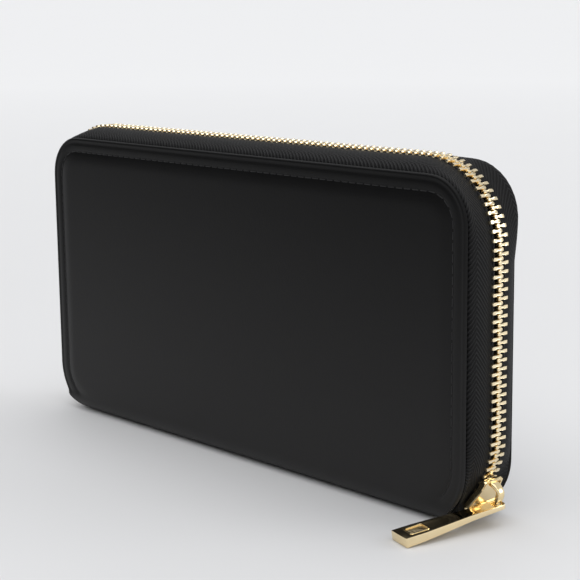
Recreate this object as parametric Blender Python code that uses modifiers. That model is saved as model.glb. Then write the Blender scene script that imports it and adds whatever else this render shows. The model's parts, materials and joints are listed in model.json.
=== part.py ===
"""Zip-around wallet, standing on its spine.

Frame: X runs along the spine, Y runs from the front cover to the back cover,
and Z points up. The origin is the centre of the spine's flat underside.
All sizes are in metres.
"""
import math

import bmesh
import bpy
import numpy as np
from mathutils import Matrix, Vector

# Covers
LENGTH = 0.196
HEIGHT = 0.100
DEPTH = 0.0215
TOP_RADIUS = 0.014
BOTTOM_RADIUS = 0.017
FOLD_RADIUS = 0.005
LEATHER = 0.0012
GAP = 0.0003
ARC_STEPS = 8

# Layers behind each cover, as distances from the wallet's middle plane
TAPE_LAYER = 0.0091
PADDING_LAYER = (0.00885, 0.00935)
BOARD_LAYER = (0.00815, 0.00865)
LINING_LAYER = (0.00745, 0.00795)
CARD_SLOT_FIRST = 0.00725
CARD_SLOT_THICKNESS = 0.0004
CARD_SLOT_PITCH = 0.0006
CARD_SLOT_HALF_LENGTH = 0.086
CARD_SLOT_BOTTOM = 0.0085
CARD_SLOT_TOPS = (0.080, 0.070, 0.060)
BOARD_INSET = 0.0075
LINING_INSET = 0.0025
LINING_BOTTOM = 0.006

# Sheets that lie on the spine: (half length, half depth, (lowest, highest))
SPINE_BOARD = (0.078, 0.0045, (0.0014, 0.0020))
SPINE_LINING = (0.080, 0.0052, (0.0022, 0.0027))

# Main zip: the chain stands proud of the cover edge, a little more along the top,
# and turns in at the spine
CHAIN_STANDOFF = 0.0024
CHAIN_RISE = 0.001
BEND_HEIGHT = 0.0255
SLIDER_TILT = math.radians(26)
BEND_RADIUS = 0.024
SLIDER_RUN = 0.011
TUCK_RADIUS = 0.006
TUCK_TURN = math.radians(49)
TAPE_END_TURN = math.radians(30)
TAPE_THICKNESS = 0.0005
TOOTH_PITCH = 0.0025
TOOTH_WIDTH = 0.0010
TOOTH_HALF_THICKNESS = 0.0012
ROW_WIDTH = 0.0030
ROW_BASE_INNER = 0.0018
TOOTH_OVERLAP = 0.0008
ROW_END_CLEARANCE = 0.0032
SPREAD_START = 0.0015
SPREAD_RATE = 0.37
SPREAD_LIMIT = 0.0024
STOP_HALF_LENGTH = 0.001
STOP_HALF_THICKNESS = 0.0013
STOP_REACH = 0.0004
STOP_ROUNDING = 0.0003

# Slider and pull
SLIDER_HALF_LENGTH = 0.005
PLATE_INNER = 0.0016
PLATE_OUTER = 0.0026
NARROW_HALF_WIDTH = 0.0039
FLANGE_WIDTH = 0.0006
FLANGE_INNER = 0.00055
WEDGE_TIP = -0.0015
WEDGE_END = -0.0048
WEDGE_HALF_WIDTH = 0.001
CROWN_HEIGHT = 0.0073
CROWN_HALF_WIDTH = 0.0012
CROWN_THICKNESS = 0.0011
CROWN_FAR_LEG = (-0.0046, -0.0034)
CROWN_NEAR_LEG = (0.0032, 0.0044)
CROWN_BAR_HALF_LENGTH = 0.0024
CROWN_CORNER = 0.0017
CROWN_INNER_CORNER = 0.0010
SLIDER_TOP_HEIGHT = 0.080
PULL_ALONG_CROWN = -0.0012
TAB_LENGTH = 0.0323
TAB_YAW = math.radians(16.2)
TAB_HALF_WIDTH = 0.004
TAB_EYE_HALF_WIDTH = 0.0025
TAB_EYE_END = 0.0026
TAB_EYE_CHAMFER = 0.0008
TAB_EYE_HOLE = (0.0017, 0.0015, 0.0006)
TAB_NECK_LENGTH = 0.0165
TAB_WINDOW = (0.0030, 0.0023, 0.0009)
TAB_WINDOW_FROM_END = 0.0058
TAB_WINDOW_DEPTH = 0.0006
TAB_SHOULDER = 0.0260
TAB_FAR_THICKNESS = 0.0028
TAB_NEAR_THICKNESS = 0.0013
TAB_FLOOR_GAP = 0.0001

# Gussets: one pleat in plan, from the front lining to the coin pocket's edge
GUSSET_PLEAT = (
    (0.0900, -0.0070),
    (0.0875, -0.0053),
    (0.0785, -0.0037),
    (0.0868, -0.0017),
    (0.0885, 0.0),
)
GUSSET_BOTTOM = 0.010
GUSSET_TOP = 0.080
GUSSET_THICKNESS = 0.0004

# Coin pocket between the two bill compartments
COIN_HALF_LENGTH = 0.086
COIN_BOTTOM = 0.008
COIN_TOP = 0.082
COIN_WALL = (0.0005, 0.00095)
COIN_TAPE_TOP = 0.091
COIN_TEETH_HALF_LENGTH = 0.080
COIN_TEETH = (0.00015, 0.0014)
COIN_TEETH_HEIGHT = 0.0016
COIN_CORNER = 0.001
COIN_SLIDER_X = 0.074
COIN_SLIDER_LENGTH = 0.008
COIN_SLIDER_HALF_WIDTHS = (0.0018, 0.0024)
COIN_SLIDER_DROP = 0.0006
COIN_SLIDER_ROOF = (0.0022, 0.0032)
COIN_PULL_LENGTH = 0.015
COIN_PULL_REACH = 0.0004
COIN_PULL_HALF_WIDTHS = (0.0010, 0.0018)
COIN_PULL_THICKNESS = 0.0009
COIN_PULL_HEIGHT = 0.0040

HALF_LENGTH = LENGTH / 2
HALF_DEPTH = DEPTH / 2
FOLD_Y = HALF_DEPTH - FOLD_RADIUS
CHAIN_RADIUS = TOP_RADIUS + CHAIN_STANDOFF

# The chain's half path from the middle of the top edge: (length, clockwise turn)
CHAIN_SEGMENTS = (
    (HALF_LENGTH - TOP_RADIUS, 0.0),
    (CHAIN_RADIUS * math.pi / 2, math.pi / 2),
    (HEIGHT + CHAIN_RISE - TOP_RADIUS - BEND_HEIGHT, 0.0),
    (BEND_RADIUS * SLIDER_TILT, SLIDER_TILT),
    (SLIDER_RUN, 0.0),
    (TUCK_RADIUS * TUCK_TURN, TUCK_TURN),
)
# The cover's own edge, which the tape is sewn behind, in the same stages
EDGE_SEGMENTS = (
    (HALF_LENGTH - TOP_RADIUS, 0.0),
    (TOP_RADIUS * math.pi / 2, math.pi / 2),
    (HEIGHT - TOP_RADIUS - BOTTOM_RADIUS, 0.0),
    (BOTTOM_RADIUS * TAPE_END_TURN, TAPE_END_TURN),
)
CHAIN_MARKS = np.cumsum([0.0] + [length for length, turn in CHAIN_SEGMENTS])
EDGE_LENGTHS = np.cumsum([0.0] + [length for length, turn in EDGE_SEGMENTS])
SIDE_LENGTH = CHAIN_SEGMENTS[2][0]
HALF_CHAIN = CHAIN_MARKS[-1]
SLIDER_AT = CHAIN_MARKS[4] + SLIDER_RUN / 2

# Tape section: (share of the way from edge to chain, offset outwards, distance
# from the middle plane, share of the row's spread)
TAPE_SECTION = (
    (0.0, -0.0060, TAPE_LAYER, 0.0),
    (0.0, -0.0010, TAPE_LAYER, 0.0),
    (0.0, 0.0008, 0.0088, 0.0),
    (0.7, 0.0, 0.0078, 0.2),
    (1.0, 0.0, 0.0060, 0.5),
    (1.0, 0.0, 0.0033, 1.0),
)

COLOURS = {
    "leather": ((0.022, 0.022, 0.024), 0.38, 0.0),
    "lining": ((0.030, 0.029, 0.030), 0.75, 0.0),
    "board": ((0.42, 0.36, 0.28), 0.85, 0.0),
    "padding": ((0.70, 0.69, 0.66), 0.90, 0.0),
    "tape": ((0.015, 0.015, 0.016), 0.80, 0.0),
    "gold": ((0.86, 0.68, 0.38), 0.16, 1.0),
    "coil": ((0.02, 0.02, 0.02), 0.40, 0.0),
}


def clear_scene():
    """Remove whatever the file opened with."""
    for obj in list(bpy.data.objects):
        bpy.data.objects.remove(obj, do_unlink=True)


def make_collection(name):
    """Add a collection to the scene."""
    collection = bpy.data.collections.new(name)
    bpy.context.scene.collection.children.link(collection)
    return collection


def make_material(name, finish):
    """A Principled material for one piece, in one of the wallet's finishes."""
    colour, roughness, metallic = COLOURS[finish]
    material = bpy.data.materials.new(name + "_material")
    material.use_nodes = True
    shader = material.node_tree.nodes["Principled BSDF"]
    shader.inputs["Base Color"].default_value = (*colour, 1.0)
    shader.inputs["Roughness"].default_value = roughness
    shader.inputs["Metallic"].default_value = metallic
    return material


def add_pivot(name, location):
    """An empty on a joint's axis, which the moving pieces are parented to."""
    pivot = bpy.data.objects.new(name, None)
    pivot.location = location
    pivot.empty_display_size = 0.01
    parts.objects.link(pivot)
    return pivot


def add_object(name, data, finish, matrix=None, pivot=None):
    """Add a named piece, held by its pivot where it moves."""
    obj = bpy.data.objects.new(name, data)
    obj.data.materials.append(make_material(name, finish))
    parts.objects.link(obj)
    place = matrix if matrix is not None else Matrix.Identity(4)
    if pivot is not None:
        obj.parent = pivot
        place = Matrix.Translation(-pivot.location) @ place
    obj.matrix_basis = place
    return obj


def add_cutter(obj):
    """Move a shape to the cutters, where it only shapes other pieces."""
    for collection in list(obj.users_collection):
        collection.objects.unlink(obj)
    cutters.objects.link(obj)
    obj.hide_render = True
    obj.display_type = "WIRE"
    return obj


def outline_curve(name, outline, thickness):
    """A flat closed outline with a thickness, as a filled 2D curve."""
    curve = bpy.data.curves.new(name, "CURVE")
    curve.dimensions = "2D"
    curve.fill_mode = "BOTH"
    curve.extrude = thickness / 2
    spline = curve.splines.new("POLY")
    spline.points.add(len(outline) - 1)
    for point, (across, up) in zip(spline.points, outline):
        point.co = (across, up, 0.0, 1.0)
    spline.use_cyclic_u = True
    return curve


def curve_to_mesh(obj):
    """Turn a curve object into a welded mesh object of the same name."""
    bpy.context.view_layer.update()
    depsgraph = bpy.context.evaluated_depsgraph_get()
    mesh = bpy.data.meshes.new_from_object(obj.evaluated_get(depsgraph))
    shape = bmesh.new()
    shape.from_mesh(mesh)
    bmesh.ops.remove_doubles(shape, verts=shape.verts, dist=0.000001)
    bmesh.ops.recalc_face_normals(shape, faces=shape.faces)
    shape.to_mesh(mesh)
    shape.free()
    name = obj.name
    old_matrix = obj.matrix_world.copy()
    collections = list(obj.users_collection)
    bpy.data.objects.remove(obj, do_unlink=True)
    solid = bpy.data.objects.new(name, mesh)
    solid.matrix_world = old_matrix
    for collection in collections:
        collection.objects.link(solid)
    return solid


def combine(obj, other, operation):
    """Add an EXACT Boolean modifier that uses a cutter."""
    modifier = obj.modifiers.new(operation.title() + "_" + other.name, "BOOLEAN")
    modifier.operation = operation
    modifier.object = other
    modifier.solver = "EXACT"


def arc(centre_x, centre_z, radius, start, end, steps=ARC_STEPS):
    """Points along an arc, both ends included."""
    angles = [start + (end - start) * step / steps for step in range(steps + 1)]
    return [(centre_x + radius * math.cos(a), centre_z + radius * math.sin(a)) for a in angles]


def panel_outline(inset=0.0, lowest=0.0):
    """A panel's outline, set in from the cover edge and cut level at a height."""
    top_radius = TOP_RADIUS - inset
    bottom_radius = BOTTOM_RADIUS - inset
    drop = min((BOTTOM_RADIUS - lowest) / bottom_radius, 1.0)
    low_x = HALF_LENGTH - BOTTOM_RADIUS
    high_x = HALF_LENGTH - TOP_RADIUS
    high_z = HEIGHT - TOP_RADIUS
    right = arc(low_x, BOTTOM_RADIUS, bottom_radius, -math.asin(drop), 0.0)
    right += arc(high_x, high_z, top_radius, 0.0, math.pi / 2)
    return right + [(-x, z) for x, z in reversed(right)]


def box_outline(half_length, bottom, top, radius=0.003):
    """A rectangle with rounded corners, centred on X."""
    inner = half_length - radius
    right = arc(inner, bottom + radius, radius, -math.pi / 2, 0.0, 4)
    right += arc(inner, top - radius, radius, 0.0, math.pi / 2, 4)
    return right + [(-x, z) for x, z in reversed(right)]


def add_upright_sheet(name, outline, layer, side, finish, pivot=None):
    """A flat sheet standing in the XZ plane, in a layer on one side."""
    near, far = layer
    middle = side * (near + far) / 2
    turn = Matrix.Translation((0.0, middle, 0.0)) @ Matrix.Rotation(math.pi / 2, 4, "X")
    curve = outline_curve(name, outline, far - near)
    return add_object(name, curve, finish, turn, pivot)


def add_level_sheet(name, half_length, half_depth, layer, finish):
    """A flat sheet lying on the spine."""
    low, high = layer
    outline = [
        (-half_length, -half_depth),
        (half_length, -half_depth),
        (half_length, half_depth),
        (-half_length, half_depth),
    ]
    lift = Matrix.Translation((0.0, 0.0, (low + high) / 2))
    return add_object(name, outline_curve(name, outline, high - low), finish, lift)


def add_trimmed_strip(name, profile, finish):
    """A profile in the YZ plane run along X, and trimmed to the panel's outline."""
    along = Matrix.Rotation(math.pi / 2, 4, "Z") @ Matrix.Rotation(math.pi / 2, 4, "X")
    strip = add_object(name, outline_curve(name, profile, LENGTH), finish, along)
    solid = curve_to_mesh(strip)
    solid.data.materials.clear()
    solid.data.materials.append(bpy.data.materials[name + "_material"])
    combine(solid, panel_cutter, "INTERSECT")
    return solid


def make_panel_cutter():
    """The prism that gives every wrapped piece the panel's rounded corners."""
    turn = Matrix.Rotation(math.pi / 2, 4, "X")
    cutter = bpy.data.objects.new("panel_cutter", outline_curve("panel_cutter", panel_outline(), 2 * DEPTH))
    cutter.matrix_basis = turn
    cutters.objects.link(cutter)
    return add_cutter(curve_to_mesh(cutter))


def fold_arc(centre_y, radius, start, end):
    """Points round the fold between a cover and the spine."""
    return arc(centre_y, FOLD_RADIUS, radius, start, end)


def add_covers():
    """The outer leather: front cover, front fold, and back cover with spine."""
    outline = panel_outline(0.0, FOLD_RADIUS + GAP)
    cover_layer = (HALF_DEPTH - LEATHER, HALF_DEPTH)
    add_upright_sheet("front_cover", outline, cover_layer, -1, "leather", front_pivot)

    inner_radius = FOLD_RADIUS - LEATHER
    front = fold_arc(-FOLD_Y, FOLD_RADIUS, math.pi, 1.5 * math.pi)
    front += fold_arc(-FOLD_Y, inner_radius, 1.5 * math.pi, math.pi)
    add_trimmed_strip("front_fold", front, "leather")

    back = [(-FOLD_Y + GAP, LEATHER), (-FOLD_Y + GAP, 0.0)]
    back += fold_arc(FOLD_Y, FOLD_RADIUS, -math.pi / 2, 0.0)
    back += [(HALF_DEPTH, HEIGHT), (HALF_DEPTH - LEATHER, HEIGHT)]
    back += fold_arc(FOLD_Y, inner_radius, 0.0, -math.pi / 2)
    add_trimmed_strip("back_cover", back, "leather")


def add_layers(prefix, side, pivot):
    """The sheets behind one cover: padding, board, lining and card slots."""
    inner_outline = panel_outline(BOARD_INSET, BOARD_INSET + GAP)
    lining_outline = panel_outline(LINING_INSET, LINING_BOTTOM)
    add_upright_sheet(prefix + "_padding", inner_outline, PADDING_LAYER, side, "padding", pivot)
    add_upright_sheet(prefix + "_board", inner_outline, BOARD_LAYER, side, "board", pivot)
    add_upright_sheet(prefix + "_lining", lining_outline, LINING_LAYER, side, "lining", pivot)
    for number, top in enumerate(CARD_SLOT_TOPS):
        far = CARD_SLOT_FIRST - number * CARD_SLOT_PITCH
        outline = box_outline(CARD_SLOT_HALF_LENGTH, CARD_SLOT_BOTTOM, top)
        layer = (far - CARD_SLOT_THICKNESS, far)
        name = f"{prefix}_card_slot_{number + 1}"
        add_upright_sheet(name, outline, layer, side, "leather", pivot)


def add_spine_layers():
    """The board and the lining that lie on the spine leather."""
    add_level_sheet("spine_board", *SPINE_BOARD, "board")
    add_level_sheet("spine_lining", *SPINE_LINING, "lining")


def walk(segments, top, distance):
    """Follow a half path from the middle of the top edge.

    Returns the point and the outward normal, both in the XZ plane.
    """
    x, z, heading = 0.0, top, 0.0
    for length, turn in segments:
        step = min(distance, length)
        distance -= step
        if turn == 0.0:
            x += step * math.cos(heading)
            z -= step * math.sin(heading)
        else:
            radius = length / turn
            next_heading = heading + step / radius
            x += radius * (math.sin(next_heading) - math.sin(heading))
            z += radius * (math.cos(next_heading) - math.cos(heading))
            heading = next_heading
        if distance <= 0.0:
            break
    return Vector((x, 0.0, z)), Vector((math.sin(heading), 0.0, math.cos(heading)))


def mirrored(point_and_normal, distance):
    """Mirror a path point to the left half where the distance is negative."""
    point, normal = point_and_normal
    if distance < 0.0:
        point.x = -point.x
        normal.x = -normal.x
    return point, normal


def chain_at(distance):
    """Centre of the chain at a signed distance from the middle of the top."""
    return mirrored(walk(CHAIN_SEGMENTS, HEIGHT + CHAIN_STANDOFF + CHAIN_RISE, abs(distance)), distance)


def edge_at(distance):
    """The cover-edge point that belongs to a distance along the chain."""
    marks = [CHAIN_MARKS[0], CHAIN_MARKS[1], CHAIN_MARKS[2], CHAIN_MARKS[3], HALF_CHAIN]
    straight = EDGE_LENGTHS[2] + SIDE_LENGTH
    lengths = [0.0, EDGE_LENGTHS[1], EDGE_LENGTHS[2], straight, EDGE_LENGTHS[4]]
    along = float(np.interp(abs(distance), marks, lengths))
    return mirrored(walk(EDGE_SEGMENTS, HEIGHT, along), distance)


def spread_at(distance):
    """How far each row has parted from the middle plane, past the slider."""
    if distance < 0.0:
        return 0.0
    past = distance - SLIDER_AT + SPREAD_START
    return min(max(past * SPREAD_RATE, 0.0), SPREAD_LIMIT)


def place_on_chain(distance, across, proud, side):
    """A point given along, across and proud of the chain, on one side's row."""
    point, normal = chain_at(distance)
    offset = side * (across + spread_at(distance))
    return point + normal * proud + Vector((0.0, offset, 0.0))


def stations():
    """Signed distances where the chain path needs a cross-section."""
    steps = (3, ARC_STEPS, 3, 4, 4, 4)
    half = []
    for index, count in enumerate(steps):
        start, end = CHAIN_MARKS[index], CHAIN_MARKS[index + 1]
        half += [start + (end - start) * step / count for step in range(1, count + 1)]
    return [-distance for distance in reversed(half)] + [0.0] + half


def add_tape(name, side, pivot=None):
    """A woven zip tape, from its sewn edge behind the cover out to the chain."""
    shape = bmesh.new()
    rows = []
    for distance in stations():
        chain_point, chain_normal = chain_at(distance)
        edge_point, edge_normal = edge_at(distance)
        row = []
        for share, offset, layer, spread_share in TAPE_SECTION:
            centre = edge_point.lerp(chain_point, share)
            normal = edge_normal.lerp(chain_normal, share).normalized()
            away = side * (layer + spread_share * spread_at(distance))
            row.append(shape.verts.new(centre + normal * offset + Vector((0.0, away, 0.0))))
        rows.append(row)
    for row, next_row in zip(rows, rows[1:]):
        for corner in range(len(row) - 1):
            shape.faces.new((row[corner], row[corner + 1], next_row[corner + 1], next_row[corner]))
    bmesh.ops.recalc_face_normals(shape, faces=shape.faces)
    mesh = bpy.data.meshes.new(name)
    shape.to_mesh(mesh)
    shape.free()
    tape = add_object(name, mesh, "tape", None, pivot)
    thicken = tape.modifiers.new("Thickness", "SOLIDIFY")
    thicken.thickness = TAPE_THICKNESS
    thicken.offset = 0.0
    return tape


def closed_mesh(shape, name):
    """Turn a closed shape's faces outwards and store it as a mesh."""
    bmesh.ops.recalc_face_normals(shape, faces=shape.faces)
    if shape.calc_volume(signed=True) < 0.0:
        bmesh.ops.reverse_faces(shape, faces=shape.faces)
    mesh = bpy.data.meshes.new(name)
    shape.to_mesh(mesh)
    shape.free()
    return mesh


def extrude_along(shape, faces, step, keep_start=False):
    """Extrude faces by a vector and return the new end faces."""
    result = bmesh.ops.extrude_face_region(shape, geom=faces)
    moved = [item for item in result["geom"] if isinstance(item, bmesh.types.BMVert)]
    bmesh.ops.translate(shape, verts=moved, vec=step)
    if not keep_start:
        bmesh.ops.delete(shape, geom=faces, context="FACES_ONLY")
    return [item for item in result["geom"] if isinstance(item, bmesh.types.BMFace)]


def straight_strip(start, breaks, across, half_thickness):
    """A straight bar along X with cross-cuts at the given places, open inside."""
    shape = bmesh.new()
    near, far = across
    corners = [(near, -half_thickness), (far, -half_thickness), (far, half_thickness), (near, half_thickness)]
    ends = [shape.faces.new([shape.verts.new((start, y, z)) for y, z in corners])]
    place = start
    for stop in breaks:
        step = Vector((stop - place, 0.0, 0.0))
        ends = extrude_along(shape, ends, step, place == start)
        place = stop
    return shape


def add_teeth_row(name, side, phase, pivot=None):
    """One row of metal teeth on its corded edge, bent round the wallet.

    The row is made straight, with X along it, Y across it and Z proud of it.
    """
    start = -HALF_CHAIN + ROW_END_CLEARANCE
    end = HALF_CHAIN - ROW_END_CLEARANCE
    count = int((end - start - phase - TOOTH_WIDTH) / TOOTH_PITCH)
    breaks = []
    tooth_middles = []
    for number in range(count + 1):
        low = start + phase + number * TOOTH_PITCH
        if low > start:
            breaks.append(low)
        breaks.append(low + TOOTH_WIDTH)
        tooth_middles.append(low + TOOTH_WIDTH / 2)
    if breaks[-1] < end:
        breaks.append(end)
    shape = straight_strip(start, breaks, (ROW_BASE_INNER, ROW_WIDTH), TOOTH_HALF_THICKNESS)
    bmesh.ops.recalc_face_normals(shape, faces=shape.faces)
    inner = [face for face in shape.faces if abs(face.calc_center_median().y - ROW_BASE_INNER) < 1e-6]
    middles = np.array(tooth_middles)
    for face in inner:
        if np.min(np.abs(middles - face.calc_center_median().x)) > TOOTH_WIDTH / 4:
            continue
        reach = Vector((0.0, -TOOTH_OVERLAP - ROW_BASE_INNER, 0.0))
        extrude_along(shape, [face], reach)
    for vert in shape.verts:
        distance, across, proud = vert.co
        vert.co = place_on_chain(distance, across, proud, side)
    return add_object(name, closed_mesh(shape, name), "gold", None, pivot)


def add_stop(name, middle, across, side, pivot=None):
    """A small metal stop pressed on at the end of the teeth."""
    start, end = middle - STOP_HALF_LENGTH, middle + STOP_HALF_LENGTH
    shape = straight_strip(start, [end], across, STOP_HALF_THICKNESS)
    for vert in shape.verts:
        distance, offset, proud = vert.co
        vert.co = place_on_chain(distance, offset, proud, side)
    stop = add_object(name, closed_mesh(shape, name), "gold", None, pivot)
    bevel = stop.modifiers.new("Rounded", "BEVEL")
    bevel.width = STOP_ROUNDING
    bevel.segments = 2
    return stop


def add_main_zip():
    """Both tapes, both rows of teeth and the stops of the zip-around closure."""
    add_tape("zip_tape_front", -1, front_pivot)
    add_tape("zip_tape_back", 1)
    add_teeth_row("zip_teeth_front", -1, 0.0, front_pivot)
    add_teeth_row("zip_teeth_back", 1, TOOTH_PITCH / 2, None)
    stop_at = HALF_CHAIN - ROW_END_CLEARANCE / 2
    own_row = (-STOP_REACH, ROW_WIDTH)
    add_stop("zip_top_stop_front", stop_at, own_row, -1)
    add_stop("zip_top_stop_back", stop_at, own_row, 1)
    add_stop("zip_bottom_stop", -stop_at, (-ROW_WIDTH, ROW_WIDTH), 1)


def slider_frame(first, second, third, proud=0.0):
    """A matrix at the slider's middle whose axes are the three directions."""
    point, normal = chain_at(SLIDER_AT)
    turn = Matrix((first, second, third)).transposed().to_4x4()
    return Matrix.Translation(point + normal * proud) @ turn


def slider_directions():
    """Across the slider, along it towards its narrow end, and outwards."""
    normal = chain_at(SLIDER_AT)[1]
    across = Vector((0.0, 1.0, 0.0))
    along = Vector((-normal.z, 0.0, normal.x))
    return across, along, normal


def slider_half_width(along):
    """Half the slider's width at a place along it."""
    past = SPREAD_START - along
    return NARROW_HALF_WIDTH + min(max(past * SPREAD_RATE, 0.0), SPREAD_LIMIT)


def slider_side(inset):
    """One long side of the slider, narrow end first, as (across, along) points."""
    ends = (SLIDER_HALF_LENGTH, SPREAD_START, -SLIDER_HALF_LENGTH)
    return [(slider_half_width(along) - inset, along) for along in ends]


def mirrored_outline(side):
    """Close an outline by repeating one side on the other, mirrored."""
    return side + [(-across, along) for across, along in reversed(side)]


def slider_block(name, outline, low, high):
    """A slab of the slider between two distances from the chain's middle."""
    across, along, normal = slider_directions()
    matrix = slider_frame(across, along, normal, (low + high) / 2)
    block = add_object(name, outline_curve(name, outline, high - low), "gold", matrix)
    return curve_to_mesh(block)


def add_slider_body():
    """The cast slider: two plates, the wedge between them and the side flanges."""
    plate = mirrored_outline(slider_side(0.0))
    body = slider_block("slider_body", plate, PLATE_INNER, PLATE_OUTER)
    body.data.materials.clear()
    body.data.materials.append(bpy.data.materials["slider_body_material"])
    pieces = [("inner_plate", plate, -PLATE_OUTER, -PLATE_INNER)]
    wedge = [(0.0, WEDGE_TIP), (WEDGE_HALF_WIDTH, WEDGE_END), (-WEDGE_HALF_WIDTH, WEDGE_END)]
    pieces.append(("wedge", wedge, -PLATE_OUTER + GAP, PLATE_OUTER - GAP))
    outer = slider_side(0.0)
    inner = slider_side(FLANGE_WIDTH)
    right = outer + list(reversed(inner))
    left = [(-across, along) for across, along in reversed(right)]
    for name, outline in (("right", right), ("left", left)):
        pieces.append((name + "_outer_flange", outline, FLANGE_INNER, PLATE_OUTER - GAP))
        pieces.append((name + "_inner_flange", outline, -PLATE_OUTER + GAP, -FLANGE_INNER))
    for name, outline, low, high in pieces:
        combine(body, add_cutter(slider_block("slider_" + name, outline, low, high)), "UNION")
    hold_by(body, slider_pivot)


def hold_by(obj, pivot):
    """Parent a placed object to its pivot without moving it."""
    place = obj.matrix_basis.copy()
    obj.parent = pivot
    obj.matrix_basis = Matrix.Translation(-pivot.location) @ place


def add_crown():
    """The arch over the slider's outer plate that carries the pull."""
    low = PLATE_OUTER + GAP
    inner_height = CROWN_HEIGHT - CROWN_THICKNESS
    far_outer, far_inner = CROWN_FAR_LEG
    near_inner, near_outer = CROWN_NEAR_LEG
    bar = CROWN_BAR_HALF_LENGTH
    shoulder = CROWN_HEIGHT - CROWN_CORNER
    outer = [
        (far_outer, low), (far_outer, shoulder), (-bar, CROWN_HEIGHT),
        (bar, CROWN_HEIGHT), (near_outer, shoulder), (near_outer, low),
    ]
    inner = [
        (near_inner, low), (near_inner, inner_height - CROWN_INNER_CORNER), (bar, inner_height),
        (-bar, inner_height), (far_inner, inner_height - CROWN_INNER_CORNER), (far_inner, low),
    ]
    outline = outer + inner
    across, along, normal = slider_directions()
    matrix = slider_frame(along, normal, across)
    curve = outline_curve("slider_crown", outline, 2 * CROWN_HALF_WIDTH)
    add_object("slider_crown", curve, "gold", matrix, slider_pivot)


def flat_box(half_length, half_width, radius):
    """A rounded rectangle about the middle."""
    return box_outline(half_length, -half_width, half_width, radius)


def add_pull_tab():
    """The pull: an eye round the crown, and a wedge-shaped bar with a window."""
    far = -TAB_LENGTH
    shoulder = -TAB_SHOULDER
    side = [
        (far, TAB_HALF_WIDTH), (shoulder, TAB_HALF_WIDTH),
        (shoulder + TAB_NECK_LENGTH, TAB_EYE_HALF_WIDTH),
        (TAB_EYE_END - TAB_EYE_CHAMFER, TAB_EYE_HALF_WIDTH),
        (TAB_EYE_END, TAB_EYE_HALF_WIDTH - TAB_EYE_CHAMFER),
    ]
    outline = side + [(along, -across) for along, across in reversed(side)]
    tilt = math.asin((pull_pivot.location.z - TAB_FAR_THICKNESS / 2 - TAB_FLOOR_GAP) / TAB_LENGTH)
    turn = Matrix.Rotation(math.pi / 2 - TAB_YAW, 4, "Z") @ Matrix.Rotation(-tilt, 4, "Y")
    matrix = Matrix.Translation(pull_pivot.location) @ turn
    blank = add_object("pull_tab", outline_curve("pull_tab", outline, TAB_FAR_THICKNESS), "gold", matrix)
    tab = curve_to_mesh(blank)
    tab.data.materials.clear()
    tab.data.materials.append(bpy.data.materials["pull_tab_material"])
    for vert in tab.data.vertices:
        share = min(max(-vert.co.x / TAB_LENGTH, 0.0), 1.0)
        thickness = TAB_NEAR_THICKNESS + (TAB_FAR_THICKNESS - TAB_NEAR_THICKNESS) * share
        vert.co.z *= thickness / TAB_FAR_THICKNESS
    eye = flat_box(*TAB_EYE_HOLE)
    window = [(x + far + TAB_WINDOW_FROM_END, y) for x, y in flat_box(*TAB_WINDOW)]
    lift = Matrix.Translation((0.0, 0.0, TAB_FAR_THICKNESS / 2))
    cuts = (
        ("eye_cutter", eye, matrix, 2 * TAB_FAR_THICKNESS),
        ("window_cutter", window, matrix @ lift, 2 * TAB_WINDOW_DEPTH),
    )
    for name, shape, place, depth in cuts:
        cutter = add_object(name, outline_curve(name, shape, depth), "gold", place)
        combine(tab, add_cutter(curve_to_mesh(cutter)), "DIFFERENCE")
    hold_by(tab, pull_pivot)


def pleat_points(side_x):
    """A gusset's folds in plan, from the front lining to the back lining."""
    sign = math.copysign(1.0, side_x)
    half = GUSSET_PLEAT + tuple((x, -y) for x, y in reversed(GUSSET_PLEAT[:-1]))
    return [(sign * x, y) for x, y in half]


def add_gusset(name, side_x):
    """A pleated side wall that joins the linings and lets the wallet open."""
    shape = bmesh.new()
    plan = pleat_points(side_x)
    low = [shape.verts.new((x, y, GUSSET_BOTTOM)) for x, y in plan]
    high = [shape.verts.new((x, y, GUSSET_TOP)) for x, y in plan]
    for index in range(len(plan) - 1):
        shape.faces.new((low[index], low[index + 1], high[index + 1], high[index]))
    mesh = bpy.data.meshes.new(name)
    shape.to_mesh(mesh)
    shape.free()
    gusset = add_object(name, mesh, "lining")
    thicken = gusset.modifiers.new("Thickness", "SOLIDIFY")
    thicken.thickness = GUSSET_THICKNESS
    thicken.offset = 0.0


def add_coin_pocket():
    """The zipped coin pocket that divides the inside in two."""
    wall = box_outline(COIN_HALF_LENGTH, COIN_BOTTOM, COIN_TOP)
    tape = box_outline(COIN_HALF_LENGTH, COIN_TOP + GAP, COIN_TAPE_TOP, COIN_CORNER)
    foot = COIN_TAPE_TOP + GAP
    teeth = box_outline(COIN_TEETH_HALF_LENGTH, foot, foot + COIN_TEETH_HEIGHT, 2 * GAP)
    for prefix, side in (("coin_front", -1), ("coin_back", 1)):
        add_upright_sheet(prefix + "_wall", wall, COIN_WALL, side, "lining", middle_pivot)
        add_upright_sheet(prefix + "_tape", tape, COIN_WALL, side, "tape", middle_pivot)
        add_upright_sheet(prefix + "_teeth", teeth, COIN_TEETH, side, "coil", middle_pivot)


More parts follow.
